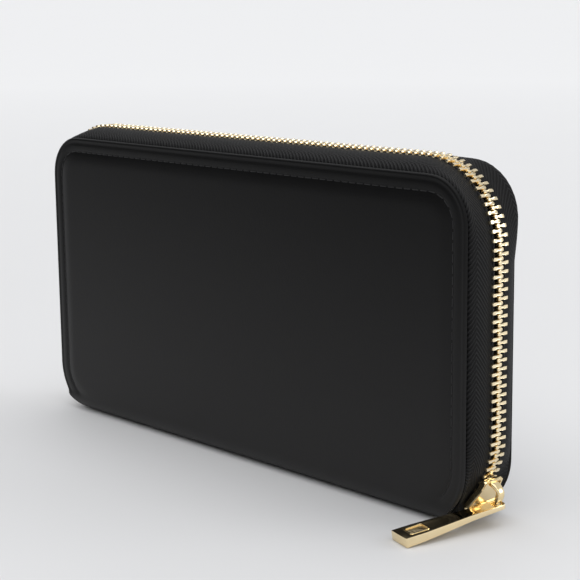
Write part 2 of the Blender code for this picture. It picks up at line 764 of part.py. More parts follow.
def add_coin_slider():
    """The small slider that straddles the coin pocket's teeth, and its pull."""
    inner, outer = COIN_SLIDER_HALF_WIDTHS
    foot = COIN_TAPE_TOP - COIN_SLIDER_DROP
    under, top = (COIN_TAPE_TOP + height for height in COIN_SLIDER_ROOF)
    outline = [
        (-outer, foot), (-inner, foot), (-inner, under), (inner, under),
        (inner, foot), (outer, foot), (outer, top), (-outer, top),
    ]
    along = Matrix.Rotation(math.pi / 2, 4, "Z") @ Matrix.Rotation(math.pi / 2, 4, "X")
    place = Matrix.Translation((COIN_SLIDER_X, 0.0, 0.0)) @ along
    body = outline_curve("coin_slider", outline, COIN_SLIDER_LENGTH)
    add_object("coin_slider", body, "gold", place, coin_slider_pivot)
    far = -COIN_PULL_LENGTH
    narrow, wide = COIN_PULL_HALF_WIDTHS
    side = [(COIN_PULL_REACH, wide), (far + COIN_PULL_REACH, wide), (far, narrow)]
    tab = side + [(x, -y) for x, y in reversed(side)]
    lift = Matrix.Translation(coin_pull_pivot.location)
    pull = outline_curve("coin_pull", tab, COIN_PULL_THICKNESS)
    add_object("coin_pull", pull, "gold", lift, coin_pull_pivot)


def slider_travel_pole():
    """The axis about which the slider swings from the corner up the side.

    It takes the slider from its tilt at the corner to upright on the straight side.
    """
    start = chain_at(SLIDER_AT)[0]
    end = Vector((HALF_LENGTH + CHAIN_STANDOFF, 0.0, SLIDER_TOP_HEIGHT))
    chord = end - start
    inward = Vector((-chord.z, 0.0, chord.x)).normalized()
    reach = chord.length / 2 / math.tan(SLIDER_TILT / 2)
    return start + chord / 2 + inward * reach


def pull_pivot_place():
    """The middle of the crown's bar where the pull hangs."""
    across, along, normal = slider_directions()
    middle = chain_at(SLIDER_AT)[0]
    return middle + normal * (CROWN_HEIGHT - CROWN_THICKNESS / 2) + along * PULL_ALONG_CROWN


clear_scene()
parts = make_collection("zip_around_wallet")
cutters = make_collection("cutters")
panel_cutter = make_panel_cutter()
front_pivot = add_pivot("front_half_pivot", (0.0, -FOLD_Y, FOLD_RADIUS))
middle_pivot = add_pivot("middle_pivot", (0.0, -FOLD_Y, FOLD_RADIUS))
slider_pivot = add_pivot("slider_pivot", slider_travel_pole())
pull_pivot = add_pivot("pull_pivot", pull_pivot_place())
coin_slider_pivot = add_pivot("coin_slider_pivot", (COIN_SLIDER_X, 0.0, COIN_TAPE_TOP))
coin_pull_pivot = add_pivot("coin_pull_pivot", (COIN_SLIDER_X, 0.0, COIN_TAPE_TOP + COIN_PULL_HEIGHT))
add_covers()
add_layers("front", -1, front_pivot)
add_layers("back", 1, None)
add_spine_layers()
add_main_zip()
add_slider_body()
add_crown()
add_pull_tab()
add_gusset("gusset_right", 1)
add_gusset("gusset_left", -1)
add_coin_pocket()
add_coin_slider()
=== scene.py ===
"""Looks of the zip-around wallet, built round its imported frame.

X runs along the spine, Y from the front cover to the back cover, Z up. Metres.
"""

import json
import math

import bpy
import numpy as np
from mathutils import Matrix, Vector


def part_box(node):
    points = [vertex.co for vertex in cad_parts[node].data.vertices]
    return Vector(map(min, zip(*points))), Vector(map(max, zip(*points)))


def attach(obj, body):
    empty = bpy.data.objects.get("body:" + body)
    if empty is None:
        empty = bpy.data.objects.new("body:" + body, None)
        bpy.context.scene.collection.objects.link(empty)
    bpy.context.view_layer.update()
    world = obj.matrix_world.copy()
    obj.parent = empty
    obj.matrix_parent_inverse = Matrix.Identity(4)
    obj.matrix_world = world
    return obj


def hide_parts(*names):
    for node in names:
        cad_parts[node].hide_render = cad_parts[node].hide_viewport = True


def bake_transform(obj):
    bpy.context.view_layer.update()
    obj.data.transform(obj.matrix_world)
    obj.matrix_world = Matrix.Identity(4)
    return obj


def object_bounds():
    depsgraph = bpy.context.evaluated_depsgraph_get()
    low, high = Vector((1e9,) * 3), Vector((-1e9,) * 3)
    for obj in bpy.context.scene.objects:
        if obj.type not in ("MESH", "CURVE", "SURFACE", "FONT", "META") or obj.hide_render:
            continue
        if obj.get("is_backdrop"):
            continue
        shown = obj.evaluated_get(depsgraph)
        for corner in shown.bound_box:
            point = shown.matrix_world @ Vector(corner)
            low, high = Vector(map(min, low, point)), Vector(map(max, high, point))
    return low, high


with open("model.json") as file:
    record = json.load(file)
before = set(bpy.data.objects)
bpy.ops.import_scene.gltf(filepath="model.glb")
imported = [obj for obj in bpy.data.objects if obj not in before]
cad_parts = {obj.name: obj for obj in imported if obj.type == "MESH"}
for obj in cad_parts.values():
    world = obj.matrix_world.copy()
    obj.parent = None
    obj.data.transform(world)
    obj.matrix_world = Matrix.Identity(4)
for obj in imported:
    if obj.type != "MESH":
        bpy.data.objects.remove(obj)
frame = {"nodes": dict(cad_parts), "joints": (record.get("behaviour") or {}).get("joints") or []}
cad_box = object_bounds()

MM = 0.001

# Sizes read from the frame
cover_low, cover_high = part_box("front_cover")
HALF_LENGTH = cover_high[0]
HEIGHT = cover_high[2]
HALF_DEPTH = -cover_low[1]
joints = {joint["name"]: joint for joint in frame["joints"]}
PULL_AT = Vector(joints["pull_swing"]["pos_m"])
COIN_PULL_AT = Vector(joints["coin_pull_flip"]["pos_m"])

# Covers
TOP_RADIUS = 14.0 * MM
BOTTOM_RADIUS = 17.0 * MM
FOLD_RADIUS = 6.6 * MM
COVER_THICKNESS = 1.35 * MM
COVER_EDGE_ROUND = 0.42 * MM
WALL_STEP = 4.6 * MM
EDGE_ROLL_SHARE = 0.8
BORDER_SINK = 0.52 * MM
PAD_RISE_WIDTH = 4.2 * MM
SEAM_GROOVE = 0.34 * MM
SEAM_GROOVE_WIDTH = 0.55 * MM
RIM_WIDTH = 1.7 * MM
RIM_CREASE = 0.24 * MM
EDGE_ROUNDING = 1.0 * MM
SEAM_END_TURN = math.radians(62)
STITCH_INSET = 4.9 * MM
STITCH_PITCH = 3.1 * MM
STITCH_LENGTH = 2.3 * MM
STITCH_RADIUS = 0.21 * MM
STITCH_END_ROUND = 0.14 * MM
STITCH_PROUD = 0.03 * MM

# The zip chain's half path from the middle of the top: (length, clockwise turn)
CHAIN_STANDOFF = 2.4 * MM
CHAIN_RISE = 1.0 * MM
CORNER_EASE = 8.0 * MM
CHAIN_RADIUS = TOP_RADIUS + CHAIN_STANDOFF + CORNER_EASE
BEND_HEIGHT = 25.5 * MM
BEND_RADIUS = 24.0 * MM
SLIDER_TILT = math.radians(26)
SLIDER_RUN = 11.0 * MM
TUCK_TURN = math.radians(49)
TUCK_RADIUS = 6.0 * MM
TAPE_END_TURN = math.radians(30)
CHAIN_SEGMENTS = (
    (HALF_LENGTH - TOP_RADIUS - CORNER_EASE, 0.0),
    (CHAIN_RADIUS * math.pi / 2, math.pi / 2),
    (HEIGHT + CHAIN_RISE - TOP_RADIUS - CORNER_EASE - BEND_HEIGHT, 0.0),
    (BEND_RADIUS * SLIDER_TILT, SLIDER_TILT),
    (SLIDER_RUN, 0.0),
    (TUCK_RADIUS * TUCK_TURN, TUCK_TURN),
)
EDGE_SEGMENTS = (
    (HALF_LENGTH - TOP_RADIUS, 0.0),
    (TOP_RADIUS * math.pi / 2, math.pi / 2),
    (HEIGHT - TOP_RADIUS - BOTTOM_RADIUS, 0.0),
    (BOTTOM_RADIUS * TAPE_END_TURN, TAPE_END_TURN),
)
CHAIN_MARKS = np.cumsum([0.0] + [length for length, turn in CHAIN_SEGMENTS])
EDGE_MARKS = np.cumsum([0.0] + [length for length, turn in EDGE_SEGMENTS])
HALF_CHAIN = float(CHAIN_MARKS[-1])
SLIDER_AT = float(CHAIN_MARKS[4]) + SLIDER_RUN / 2
TOOTH_PITCH = 2.5 * MM
ROW_END_CLEARANCE = 3.2 * MM
SPREAD_START = 1.5 * MM
SPREAD_RATE = 0.37
SPREAD_LIMIT = 2.4 * MM
TAPE_THICKNESS = 0.5 * MM

# Woven tape
RIB_PITCH = 1.5 * MM
RIB_SLOPE = 1.9
THREAD_PITCH = 0.5 * MM
TWILL_PITCH = 0.55 * MM
TWILL_CROSS_PITCH = 0.35 * MM

# Pull tab
TAB_LENGTH = 32.3 * MM
TAB_YAW = math.radians(16.2)
TAB_HALF_WIDTH = 4.0 * MM
TAB_FAR_THICKNESS = 2.8 * MM
TAB_NEAR_THICKNESS = 1.3 * MM


# --- Modelling helpers -------------------------------------------------------

def deselect():
    """Leave nothing selected, so that an operator acts on the new piece only."""
    bpy.ops.object.select_all(action="DESELECT")


def select_only(obj):
    """Make one object the selected and active one."""
    deselect()
    obj.select_set(True)
    bpy.context.view_layer.objects.active = obj


def apply_modifier(obj, kind, **settings):
    """Add a modifier, set it and apply it."""
    select_only(obj)
    modifier = obj.modifiers.new(kind.title(), kind)
    for name, value in settings.items():
        setattr(modifier, name, value)
    bpy.ops.object.modifier_apply(modifier=modifier.name)


def edit_all(obj):
    """Enter edit mode with the whole mesh selected."""
    select_only(obj)
    bpy.ops.object.mode_set(mode="EDIT")
    bpy.ops.mesh.select_all(action="SELECT")


def leave_edit():
    """Back to object mode."""
    bpy.ops.object.mode_set(mode="OBJECT")


def turn_outwards(obj):
    """Point a closed mesh's faces outwards."""
    edit_all(obj)
    bpy.ops.mesh.normals_make_consistent(inside=False)
    leave_edit()


def smooth(obj, angle=35):
    """Shade smooth, with sharp edges above an angle in degrees."""
    select_only(obj)
    bpy.ops.object.shade_smooth_by_angle(angle=math.radians(angle))


def bevel(obj, width, segments=2, angle=30):
    """Round the edges sharper than an angle in degrees."""
    apply_modifier(
        obj, "BEVEL", width=width, segments=segments,
        limit_method="ANGLE", angle_limit=math.radians(angle),
    )


def outline_solid(name, outline, low, high):
    """A closed outline in XY, extruded in edit mode from one height to another."""
    deselect()
    bpy.ops.mesh.primitive_circle_add(vertices=len(outline), fill_type="NGON")
    obj = bpy.context.active_object
    obj.name = name
    for vert, (across, along) in zip(obj.data.vertices, outline):
        vert.co = (across, along, low)
    edit_all(obj)
    bpy.ops.mesh.extrude_region_move(TRANSFORM_OT_translate={"value": (0.0, 0.0, high - low)})
    leave_edit()
    turn_outwards(obj)
    return obj


def cut(obj, cutter, operation="DIFFERENCE"):
    """Cut or join with another object, which is then removed."""
    apply_modifier(obj, "BOOLEAN", object=cutter, operation=operation, solver="EXACT")
    bpy.data.objects.remove(cutter, do_unlink=True)


def millimetres(outline):
    """An outline given in millimetres, in metres."""
    return [(x * MM, y * MM) for x, y in outline]


def settle(obj, matrix):
    """Put a piece's place into its mesh, and leave its object at the origin."""
    obj.data.transform(matrix)
    obj.matrix_world = Matrix.Identity(4)


def grid_sheet(name, columns, rows, place):
    """A grid whose point (column, row) is put where place() says.

    place takes the column and row numbers and returns a point and its UV.
    """
    deselect()
    bpy.ops.mesh.primitive_grid_add(x_subdivisions=columns - 1, y_subdivisions=rows - 1, size=1.0)
    obj = bpy.context.active_object
    obj.name = name
    places = []
    for vert in obj.data.vertices:
        column = round((vert.co.x + 0.5) * (columns - 1))
        row = round((vert.co.y + 0.5) * (rows - 1))
        places.append(place(column, row))
    for vert, placed in zip(obj.data.vertices, places):
        vert.co = placed[0]
    layer = obj.data.uv_layers[0].data
    for loop in obj.data.loops:
        layer[loop.index].uv = places[loop.vertex_index][1]
    return obj


def thicken(obj, thickness, offset=0.0):
    """Give an open sheet its thickness."""
    apply_modifier(obj, "SOLIDIFY", thickness=thickness, offset=offset)


def cloth(obj, width, length, thickness):
    thicken(obj, thickness)


def copies(name, master, matrices):
    """Copies of a modelled piece, each with its own mesh, joined into one object."""
    made = []
    for matrix in matrices:
        twin = master.copy()
        twin.data = master.data.copy()
        twin.data.transform(matrix)
        bpy.context.collection.objects.link(twin)
        made.append(twin)
    bpy.data.objects.remove(master, do_unlink=True)
    deselect()
    for twin in made:
        twin.select_set(True)
    bpy.context.view_layer.objects.active = made[0]
    bpy.ops.object.join()
    joined = bpy.context.active_object
    joined.name = name
    return joined


def finish_piece(obj, material, body=None, nodes=()):
    """Give a piece its material, its body and the nodes it stands for."""
    obj.data.materials.clear()
    obj.data.materials.append(material)
    if body:
        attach(obj, body)
    if nodes:
        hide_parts(*nodes)
    return obj


def smoothstep(value):
    """Ease from 0 to 1."""
    value = min(max(value, 0.0), 1.0)
    return value * value * (3.0 - 2.0 * value)


# --- Materials ---------------------------------------------------------------

def plain_material(name, colour, roughness, metallic=0.0, **sockets):
    """A Principled material with its uniform values on the shader's sockets."""
    material = bpy.data.materials.new(name)
    material.use_nodes = True
    shader = material.node_tree.nodes["Principled BSDF"]
    shader.inputs["Base Color"].default_value = (*colour, 1.0)
    shader.inputs["Roughness"].default_value = roughness
    shader.inputs["Metallic"].default_value = metallic
    for socket, value in sockets.items():
        shader.inputs[socket.replace("_", " ")].default_value = value
    return material


def node(material, kind, **inputs):
    """Add a node and set or link its inputs by name."""
    tree = material.node_tree
    made = tree.nodes.new(kind)
    for key, value in inputs.items():
        if hasattr(made, key):
            setattr(made, key, value)
            continue
        socket = made.inputs[int(key[1:])] if key[0] == "i" and key[1:].isdigit() else made.inputs[key]
        if isinstance(value, bpy.types.NodeSocket):
            tree.links.new(value, socket)
        else:
            socket.default_value = value
    return made


def maths(material, operation, first, second=0.0):
    """A Math node's result."""
    return node(material, "ShaderNodeMath", operation=operation, i0=first, i1=second).outputs[0]


def times(material, first, second):
    """A product of two results."""
    return maths(material, "MULTIPLY", first, second)


def plus(material, first, second):
    """A sum of two results."""
    return maths(material, "ADD", first, second)


def waves(material, distance, pitch):
    """A sine wave of a given pitch, from -1 to 1."""
    return maths(material, "SINE", times(material, distance, 2 * math.pi / pitch))


def coordinates(material, which="Object"):
    """Object or UV coordinates."""
    return node(material, "ShaderNodeTexCoord").outputs[which]


def noise(material, vector, scale, detail=3.0, roughness=0.5):
    """A noise texture's factor."""
    made = node(
        material, "ShaderNodeTexNoise", Vector=vector, Scale=scale, Detail=detail, Roughness=roughness
    )
    return made.outputs[0]


def ramp(material, factor, low, high):
    """Map 0..1 to a range."""
    return node(material, "ShaderNodeMapRange", i0=factor, i3=low, i4=high).outputs[0]


def two_colours(material, factor, first, second):
    """Mix two colours by a factor."""
    made = node(material, "ShaderNodeMix", data_type="RGBA")
    material.node_tree.links.new(factor, made.inputs["Factor"])
    made.inputs[6].default_value = (*first, 1.0)
    made.inputs[7].default_value = (*second, 1.0)
    return made.outputs[2]


def bump(material, height, distance, strength=1.0, under=None):
    """A bump node's normal, laid over another one if given."""
    made = node(material, "ShaderNodeBump", Height=height, Distance=distance, Strength=strength)
    if under is not None:
        material.node_tree.links.new(under, made.inputs["Normal"])
    return made.outputs["Normal"]


def connect(material, **outputs):
    """Link results to the shader's inputs."""
    shader = material.node_tree.nodes["Principled BSDF"]
    for socket, value in outputs.items():
        material.node_tree.links.new(value, shader.inputs[socket.replace("_", " ")])


# Leather: noise scales, and the painted light: the heights and share over which its colour is painted
# lighter low down
LEATHER_CLOUDS = 38.0
LEATHER_PORES = 2600.0
LEATHER_CREASES = 260.0
PORE_SHARE = 0.3
CREASE_DEPTH = 0.06 * MM
PORE_DEPTH = 0.012 * MM
PAINTED_LIGHT_FROM = 4.0 * MM
PAINTED_LIGHT_TO = 96.0 * MM
PAINTED_LIGHT_SHARE = 0.86


def leather_material(name, grain_scale, dark, light, low, high, grain_depth):
    """Smooth finished leather: fine pores, faint tumbled creases, and painted floor light that makes it
    lighter low down.
    """
    material = plain_material(name, dark, low, 0.0, Specular_IOR_Level=0.13)
    place = coordinates(material)
    cells = node(material, "ShaderNodeTexVoronoi", Vector=place, Scale=grain_scale, Randomness=1.0)
    broad = noise(material, place, LEATHER_CLOUDS, 4.0)
    fine = noise(material, place, LEATHER_PORES, 2.0)
    crease = noise(material, place, LEATHER_CREASES, 5.0, 0.6)
    cloud = plus(material, times(material, broad, 1.0 - PORE_SHARE), times(material, fine, PORE_SHARE))
    pores = bump(material, cells.outputs["Distance"], grain_depth, 0.5)
    creased = bump(material, crease, CREASE_DEPTH, 0.35, pores)
    # Painted light: the colour lightens towards the bottom, standing in for light thrown up by the floor.
    height = node(material, "ShaderNodeSeparateXYZ", Vector=place).outputs[2]
    painted_floor_light = node(material, "ShaderNodeMapRange", i0=height, i1=PAINTED_LIGHT_FROM, i2=PAINTED_LIGHT_TO, i3=PAINTED_LIGHT_SHARE, i4=0.0)
    mottle_and_painted_light = plus(material, painted_floor_light.outputs[0], times(material, cloud, 1.0 - PAINTED_LIGHT_SHARE))
    connect(
        material,
        Base_Color=two_colours(material, mottle_and_painted_light, dark, light),
        Roughness=ramp(material, cloud, low, high),
        Normal=bump(material, fine, PORE_DEPTH, 0.5, creased),
    )
    return material


# Woven tape: how much of its height is crossing threads, loose fibres and ribs
RIB_SHARPNESS = 1.4
WEAVE_SHARE = 0.16
FIBRE_SHARE = 0.5
FIBRE_SCALE = 4200.0
PLAIN_BAND_RIBS = 0.10
RIB_DEPTH = 0.22 * MM


def herringbone_material(name, apex, woven_to):
    """Woven zip tape: herringbone ribs with painted highlights on their crests, then a plain tight band
    beside the teeth.

    Its UV is in metres: U along the tape, V across it from the cover's edge.
    """
    material = plain_material(name, (0.004, 0.004, 0.0045), 0.6, 0.0, Specular_IOR_Level=0.20)
    split = node(material, "ShaderNodeSeparateXYZ", Vector=coordinates(material, "UV"))
    along, across = split.outputs[0], split.outputs[1]
    away = maths(material, "ABSOLUTE", maths(material, "SUBTRACT", across, apex))
    phase = maths(material, "SUBTRACT", along, times(material, away, RIB_SLOPE))
    ribs = times(material, plus(material, waves(material, phase, RIB_PITCH), 1.0), 0.5)
    ribs = maths(material, "POWER", ribs, RIB_SHARPNESS)
    twist = waves(material, along, THREAD_PITCH)
    threads = waves(material, across, THREAD_PITCH)
    weave = times(material, times(material, twist, threads), WEAVE_SHARE)
    fibres = noise(material, coordinates(material), FIBRE_SCALE, 2.0)
    fibres = times(material, maths(material, "SUBTRACT", fibres, 0.5), FIBRE_SHARE)
    band = woven_to + 0.5 * MM
    woven = node(
        material, "ShaderNodeMapRange", i0=across, i1=woven_to, i2=band, i3=1.0, i4=PLAIN_BAND_RIBS
    )
    height = plus(material, times(material, ribs, woven.outputs[0]), weave)
    height = plus(material, height, fibres)
    # Painted highlight and shade: the colour follows the weave's height, lighter on the rib crests and
    # darker in the grooves.
    connect(
        material,
        Base_Color=two_colours(material, height, (0.0018, 0.0018, 0.0021), (0.0150, 0.0150, 0.0156)),
        Normal=bump(material, height, RIB_DEPTH, 1.0),
    )
    return material


# Gold: noise scales of its polishing marks and dulled areas
POLISH_SCALE = 1500.0
DULLED_SCALE = 240.0
POLISH_DEPTH = 0.004 * MM
DULLED_TINT = (0.93, 0.88, 0.80)


def gold_material(name, colour, roughness, wear):
    """Pale gold plating with faint polishing marks and slightly dulled areas."""
    material = plain_material(name, colour, roughness, 1.0)
    place = coordinates(material)
    brushed = noise(material, place, POLISH_SCALE, 3.0)
    cloud = noise(material, place, DULLED_SCALE, 3.0)
    warm = tuple(channel * tint for channel, tint in zip(colour, DULLED_TINT))
    connect(
        material,
        Base_Color=two_colours(material, cloud, colour, warm),
        Roughness=ramp(material, cloud, roughness, roughness + wear),
        Normal=bump(material, brushed, POLISH_DEPTH, 0.25),
    )
    return material


def twill_material(name, dark, light):
    """Black lining twill: fine diagonal ribs."""
    material = plain_material(name, dark, 0.7, 0.0, Sheen_Weight=0.2)
    split = node(material, "ShaderNodeSeparateXYZ", Vector=coordinates(material, "UV"))
    slant = plus(material, split.outputs[0], split.outputs[1])
    ribs = waves(material, slant, TWILL_PITCH)
    cross = waves(material, split.outputs[0], TWILL_CROSS_PITCH)
    height = plus(material, ribs, times(material, cross, 0.4))
    height = times(material, plus(material, height, 1.4), 0.357)
    connect(
        material,
        Base_Color=two_colours(material, height, dark, light),
        Normal=bump(material, height, 0.05 * MM, 0.7),
    )
    return material


def mottled_material(name, dark, light, roughness, scale, depth):
    """A plain solid material, such as board, foam or nylon, with a fine mottle."""
    material = plain_material(name, dark, roughness)
    grain = noise(material, coordinates(material), scale, 4.0)
    connect(
        material,
        Base_Color=two_colours(material, grain, dark, light),
        Normal=bump(material, grain, depth, 0.6),
    )
    return material


cover_leather = leather_material(
    "satin_black_leather", 1500.0, (0.0016, 0.0016, 0.0017), (0.0225, 0.0222, 0.0223), 0.36, 0.46, 0.03 * MM
)
slot_leather = leather_material(
    "slot_black_leather", 1300.0, (0.012, 0.012, 0.0125), (0.020, 0.0195, 0.020), 0.42, 0.55, 0.05 * MM
)
tape_cloth = herringbone_material("herringbone_tape", 1.5 * MM, 4.4 * MM)
coin_tape_cloth = herringbone_material("coin_zip_tape", 4.0 * MM, 7.6 * MM)
lining_cloth = twill_material("lining_twill", (0.010, 0.010, 0.011), (0.030, 0.030, 0.032))
tooth_gold = gold_material("tooth_gold", (0.94, 0.82, 0.58), 0.16, 0.10)
slider_gold = gold_material("slider_gold", (0.92, 0.76, 0.46), 0.10, 0.06)
pull_gold = gold_material("pull_mirror_gold", (0.93, 0.78, 0.50), 0.045, 0.03)
plate_gold = gold_material("window_satin_gold", (0.95, 0.80, 0.52), 0.30, 0.05)
thread_black = mottled_material(
    "bonded_thread", (0.005, 0.005, 0.0055), (0.010, 0.010, 0.011), 0.5, 4000.0, 0.02 * MM
)
nylon_black = mottled_material(
    "nylon_coil", (0.012, 0.012, 0.013), (0.022, 0.022, 0.024), 0.35, 900.0, 0.01 * MM
)
board_brown = mottled_material(
    "fibre_board", (0.30, 0.25, 0.19), (0.50, 0.43, 0.34), 0.85, 900.0, 0.05 * MM
)
foam_grey = mottled_material("thin_foam", (0.55, 0.54, 0.51), (0.74, 0.73, 0.70), 0.9, 1800.0, 0.08 * MM)


# --- The chain's path --------------------------------------------------------

def walk(segments, top, distance):
    """Follow a half path and return the point and the outward normal."""
    x, z, heading = 0.0, top, 0.0
    for length, turn in segments:
        step = min(distance, length)
        distance -= step
        if turn == 0.0:
            x += step * math.cos(heading)
            z -= step * math.sin(heading)
        else:
            radius = length / turn
            next_heading = heading + step / radius
            x += radius * (math.sin(next_heading) - math.sin(heading))
            z += radius * (math.cos(next_heading) - math.cos(heading))
            heading = next_heading
        if distance <= 0.0:
            break
    return Vector((x, 0.0, z)), Vector((math.sin(heading), 0.0, math.cos(heading)))


def on_side(point_and_normal, distance):
    """Mirror a path point to the left half where the distance is negative."""
    point, normal = point_and_normal
    if distance < 0.0:
        point.x = -point.x
        normal.x = -normal.x
    return point, normal


def chain_at(distance):
    """The chain's middle at a signed distance from the middle of the top."""
    return on_side(walk(CHAIN_SEGMENTS, HEIGHT + CHAIN_STANDOFF + CHAIN_RISE, abs(distance)), distance)


def edge_at(distance):
    """The cover-edge point that belongs to a distance along the chain."""
    marks = [CHAIN_MARKS[0], CHAIN_MARKS[1], CHAIN_MARKS[2], CHAIN_MARKS[3], HALF_CHAIN]
    corner_end = EDGE_MARKS[2] + CORNER_EASE
    straight = corner_end + CHAIN_SEGMENTS[2][0]
    lengths = [0.0, EDGE_MARKS[1] - CORNER_EASE, corner_end, straight, EDGE_MARKS[4]]
    along = float(np.interp(abs(distance), marks, lengths))
    return on_side(walk(EDGE_SEGMENTS, HEIGHT, along), distance)


def spread_at(distance):
    """How far a row has parted from the middle plane, past the slider."""
    if distance < 0.0:
        return 0.0
    past = distance - SLIDER_AT + SPREAD_START
    return min(max(past * SPREAD_RATE, 0.0), SPREAD_LIMIT)


def chain_matrix(distance, side):
    """Axes along the chain, across it away from the middle plane, and outwards."""
    point, normal = chain_at(distance)
    across = Vector((0.0, float(side), 0.0))
    along = across.cross(normal)
    turn = Matrix((along, across, normal)).transposed().to_4x4()
    shift = Vector((0.0, side * spread_at(distance), 0.0))
    return Matrix.Translation(point + shift) @ turn


# --- Cover -------------------------------------------------------------------

# Grid lines in from the edge, close together where the border is shaped
BORDER_MILLIMETRES = (
    0, 0.2, 0.5, 0.9, 1.4, 1.9, 2.6, 3.4, 4.1, 4.5, 4.9, 5.3, 5.8, 6.6, 7.6, 9.0, 11.2, 14.0,
)
BORDER_OFFSETS = [offset * MM for offset in BORDER_MILLIMETRES]
INNER_COLUMNS = 19
WALL_ROWS = 16
LOW_WALL_ROWS = 10
BEND_ROWS = 9
SPINE_ROWS = 5
ROUNDING = 1e-9


def cover_end_x(height, inset):
    """How far the cover reaches along X at a height, near its bottom corners."""
    rise = min(max(BOTTOM_RADIUS - height, 0.0), BOTTOM_RADIUS)
    return HALF_LENGTH - BOTTOM_RADIUS - inset + math.sqrt(BOTTOM_RADIUS ** 2 - rise ** 2)


def wrap_columns():
    """Column places: (side, border offset or None, share of the inner half)."""
    border = [(1, offset, 1.0) for offset in BORDER_OFFSETS]
    inner = [(1, None, share / INNER_COLUMNS) for share in range(INNER_COLUMNS - 1, -1, -1)]
    right = border + inner
    left = [(-1, *column[1:]) for column in right[:-1]]
    return left + list(reversed(right))


def wrap_rows():
    """Rows down the front, round the folds and up the back: (face, kind, value)."""
    low_step = (BOTTOM_RADIUS - FOLD_RADIUS) / LOW_WALL_ROWS
    front = [("top", offset) for offset in BORDER_OFFSETS[:-1]]
    front += [("wall", HEIGHT - TOP_RADIUS - step * WALL_STEP) for step in range(WALL_ROWS)]
    front += [("wall", BOTTOM_RADIUS - step * low_step) for step in range(LOW_WALL_ROWS + 1)]
    bend = [("bend", math.pi / 2 * step / BEND_ROWS) for step in range(1, BEND_ROWS + 1)]
    floor = [("spine", share / SPINE_ROWS) for share in range(1 - SPINE_ROWS, SPINE_ROWS)]
    start = [(1.0, kind, value) for kind, value in front + bend]
    middle = [(0.0, kind, value) for kind, value in floor]
    back = [(-1.0, kind, value) for kind, value in reversed(front + bend)]
    return start + middle + back


def wrap_point(column, row, inset, half_depth, fold_radius, base, relief):
    """A point of the sheet that wraps round the wallet, for one column and row."""
    side, offset, share = column
    face, kind, value = row
    edge_offset = offset if offset is not None else TOP_RADIUS
    depth_from_edge = edge_offset
    fold_y = half_depth - fold_radius
    radius = TOP_RADIUS - inset
    corner_x = HALF_LENGTH - TOP_RADIUS
    corner_z = HEIGHT - TOP_RADIUS
    scale = radius / TOP_RADIUS
    if kind == "top":
        across = (TOP_RADIUS - edge_offset) * scale
        up = (TOP_RADIUS - value) * scale
        reach = max(across, up)
        if offset is None:
            x, z = share * corner_x, corner_z + up
            depth_from_edge = value
        else:
            if across >= up:
                angle = math.pi / 4 * (up / across if across else 0.0)
            else:
                angle = math.pi / 2 - math.pi / 4 * (across / up)
            x, z = corner_x + reach * math.cos(angle), corner_z + reach * math.sin(angle)
            depth_from_edge = TOP_RADIUS - reach / scale
        y = half_depth
    else:
        if kind == "wall":
            z, y = value, half_depth
            if value <= FOLD_RADIUS + ROUNDING:
                z = base + fold_radius
        elif kind == "bend":
            z = base + fold_radius * (1.0 - math.sin(value))
            y = fold_y + fold_radius * math.cos(value)
        else:
            z, y = base, value * fold_y
        end = cover_end_x(z if kind != "spine" else 0.0, inset)
        inner = end - TOP_RADIUS * scale
        x = end - edge_offset * scale if offset is not None else share * inner
    if kind == "wall" and relief is not flat_relief:
        depth_from_edge = distance_from_edge(x, z)
    sink = relief(depth_from_edge) * fade_at(x, z)
    facing = -face if face else 1.0
    if kind == "bend":
        sink = 0.0
    if kind == "spine":
        return Vector((side * x, y, z))
    return Vector((side * x, facing * (y - sink), z))


def flat_relief(distance):
    """A lining has no border."""
    return 0.0


def cover_relief(distance):
    """How far the leather lies below the padded face, at a distance from its edge."""
    border = 1.0 - smoothstep((distance - STITCH_INSET) / PAD_RISE_WIDTH)
    groove = math.exp(-(((distance - STITCH_INSET) / SEAM_GROOVE_WIDTH) ** 2))
    crease = math.exp(-(((distance - RIM_WIDTH) / SEAM_GROOVE_WIDTH) ** 2))
    past = max(EDGE_ROUNDING - distance, 0.0)
    roll = EDGE_ROUNDING - math.sqrt(EDGE_ROUNDING ** 2 - past ** 2)
    return BORDER_SINK * border + SEAM_GROOVE * groove + RIM_CREASE * crease + EDGE_ROLL_SHARE * roll


def fade_at(x, z):
    """How much of the border shows: it runs out where the corner meets the fold."""
    if z >= BOTTOM_RADIUS:
        return 1.0
    inner = HALF_LENGTH - BOTTOM_RADIUS
    beside = smoothstep((abs(x) - inner + 1.0 * MM) / (6.0 * MM))
    above = smoothstep((z - 2.0 * MM) / (3.0 * MM))
    shelter = smoothstep((z - 8.0 * MM) / (9.0 * MM))
    return above * (shelter + (1.0 - shelter) * beside)


def distance_from_edge(x, z):
    """Distance from a point of a cover to its outline, round the bottom corners too."""
    side = HALF_LENGTH - abs(x)
    if z < BOTTOM_RADIUS and abs(x) > HALF_LENGTH - BOTTOM_RADIUS:
        side = BOTTOM_RADIUS - math.hypot(abs(x) - HALF_LENGTH + BOTTOM_RADIUS, BOTTOM_RADIUS - z)
    return max(side, 0.0)


def wrapped_sheet(name, inset, half_depth, fold_radius, base, relief):
    """One sheet from the front's top edge round the spine to the back's top edge."""
    columns = wrap_columns()
    rows = wrap_rows()

    def place(column, row):
        point = wrap_point(columns[column], rows[row], inset, half_depth, fold_radius, base, relief)
        down = HEIGHT - point.z + HALF_DEPTH
        return point, (point.x, math.copysign(down, point.y))

    return grid_sheet(name, len(columns), len(rows), place)


def face_away_from_middle(obj):
    """Turn an open wrapped sheet so that its faces look away from the inside."""
    middle = Vector((0.0, 0.0, HEIGHT / 2))
    outward = sum(face.area * face.normal.dot(face.center - middle) for face in obj.data.polygons)
    if outward < 0.0:
        edit_all(obj)
        bpy.ops.mesh.flip_normals()
        leave_edit()


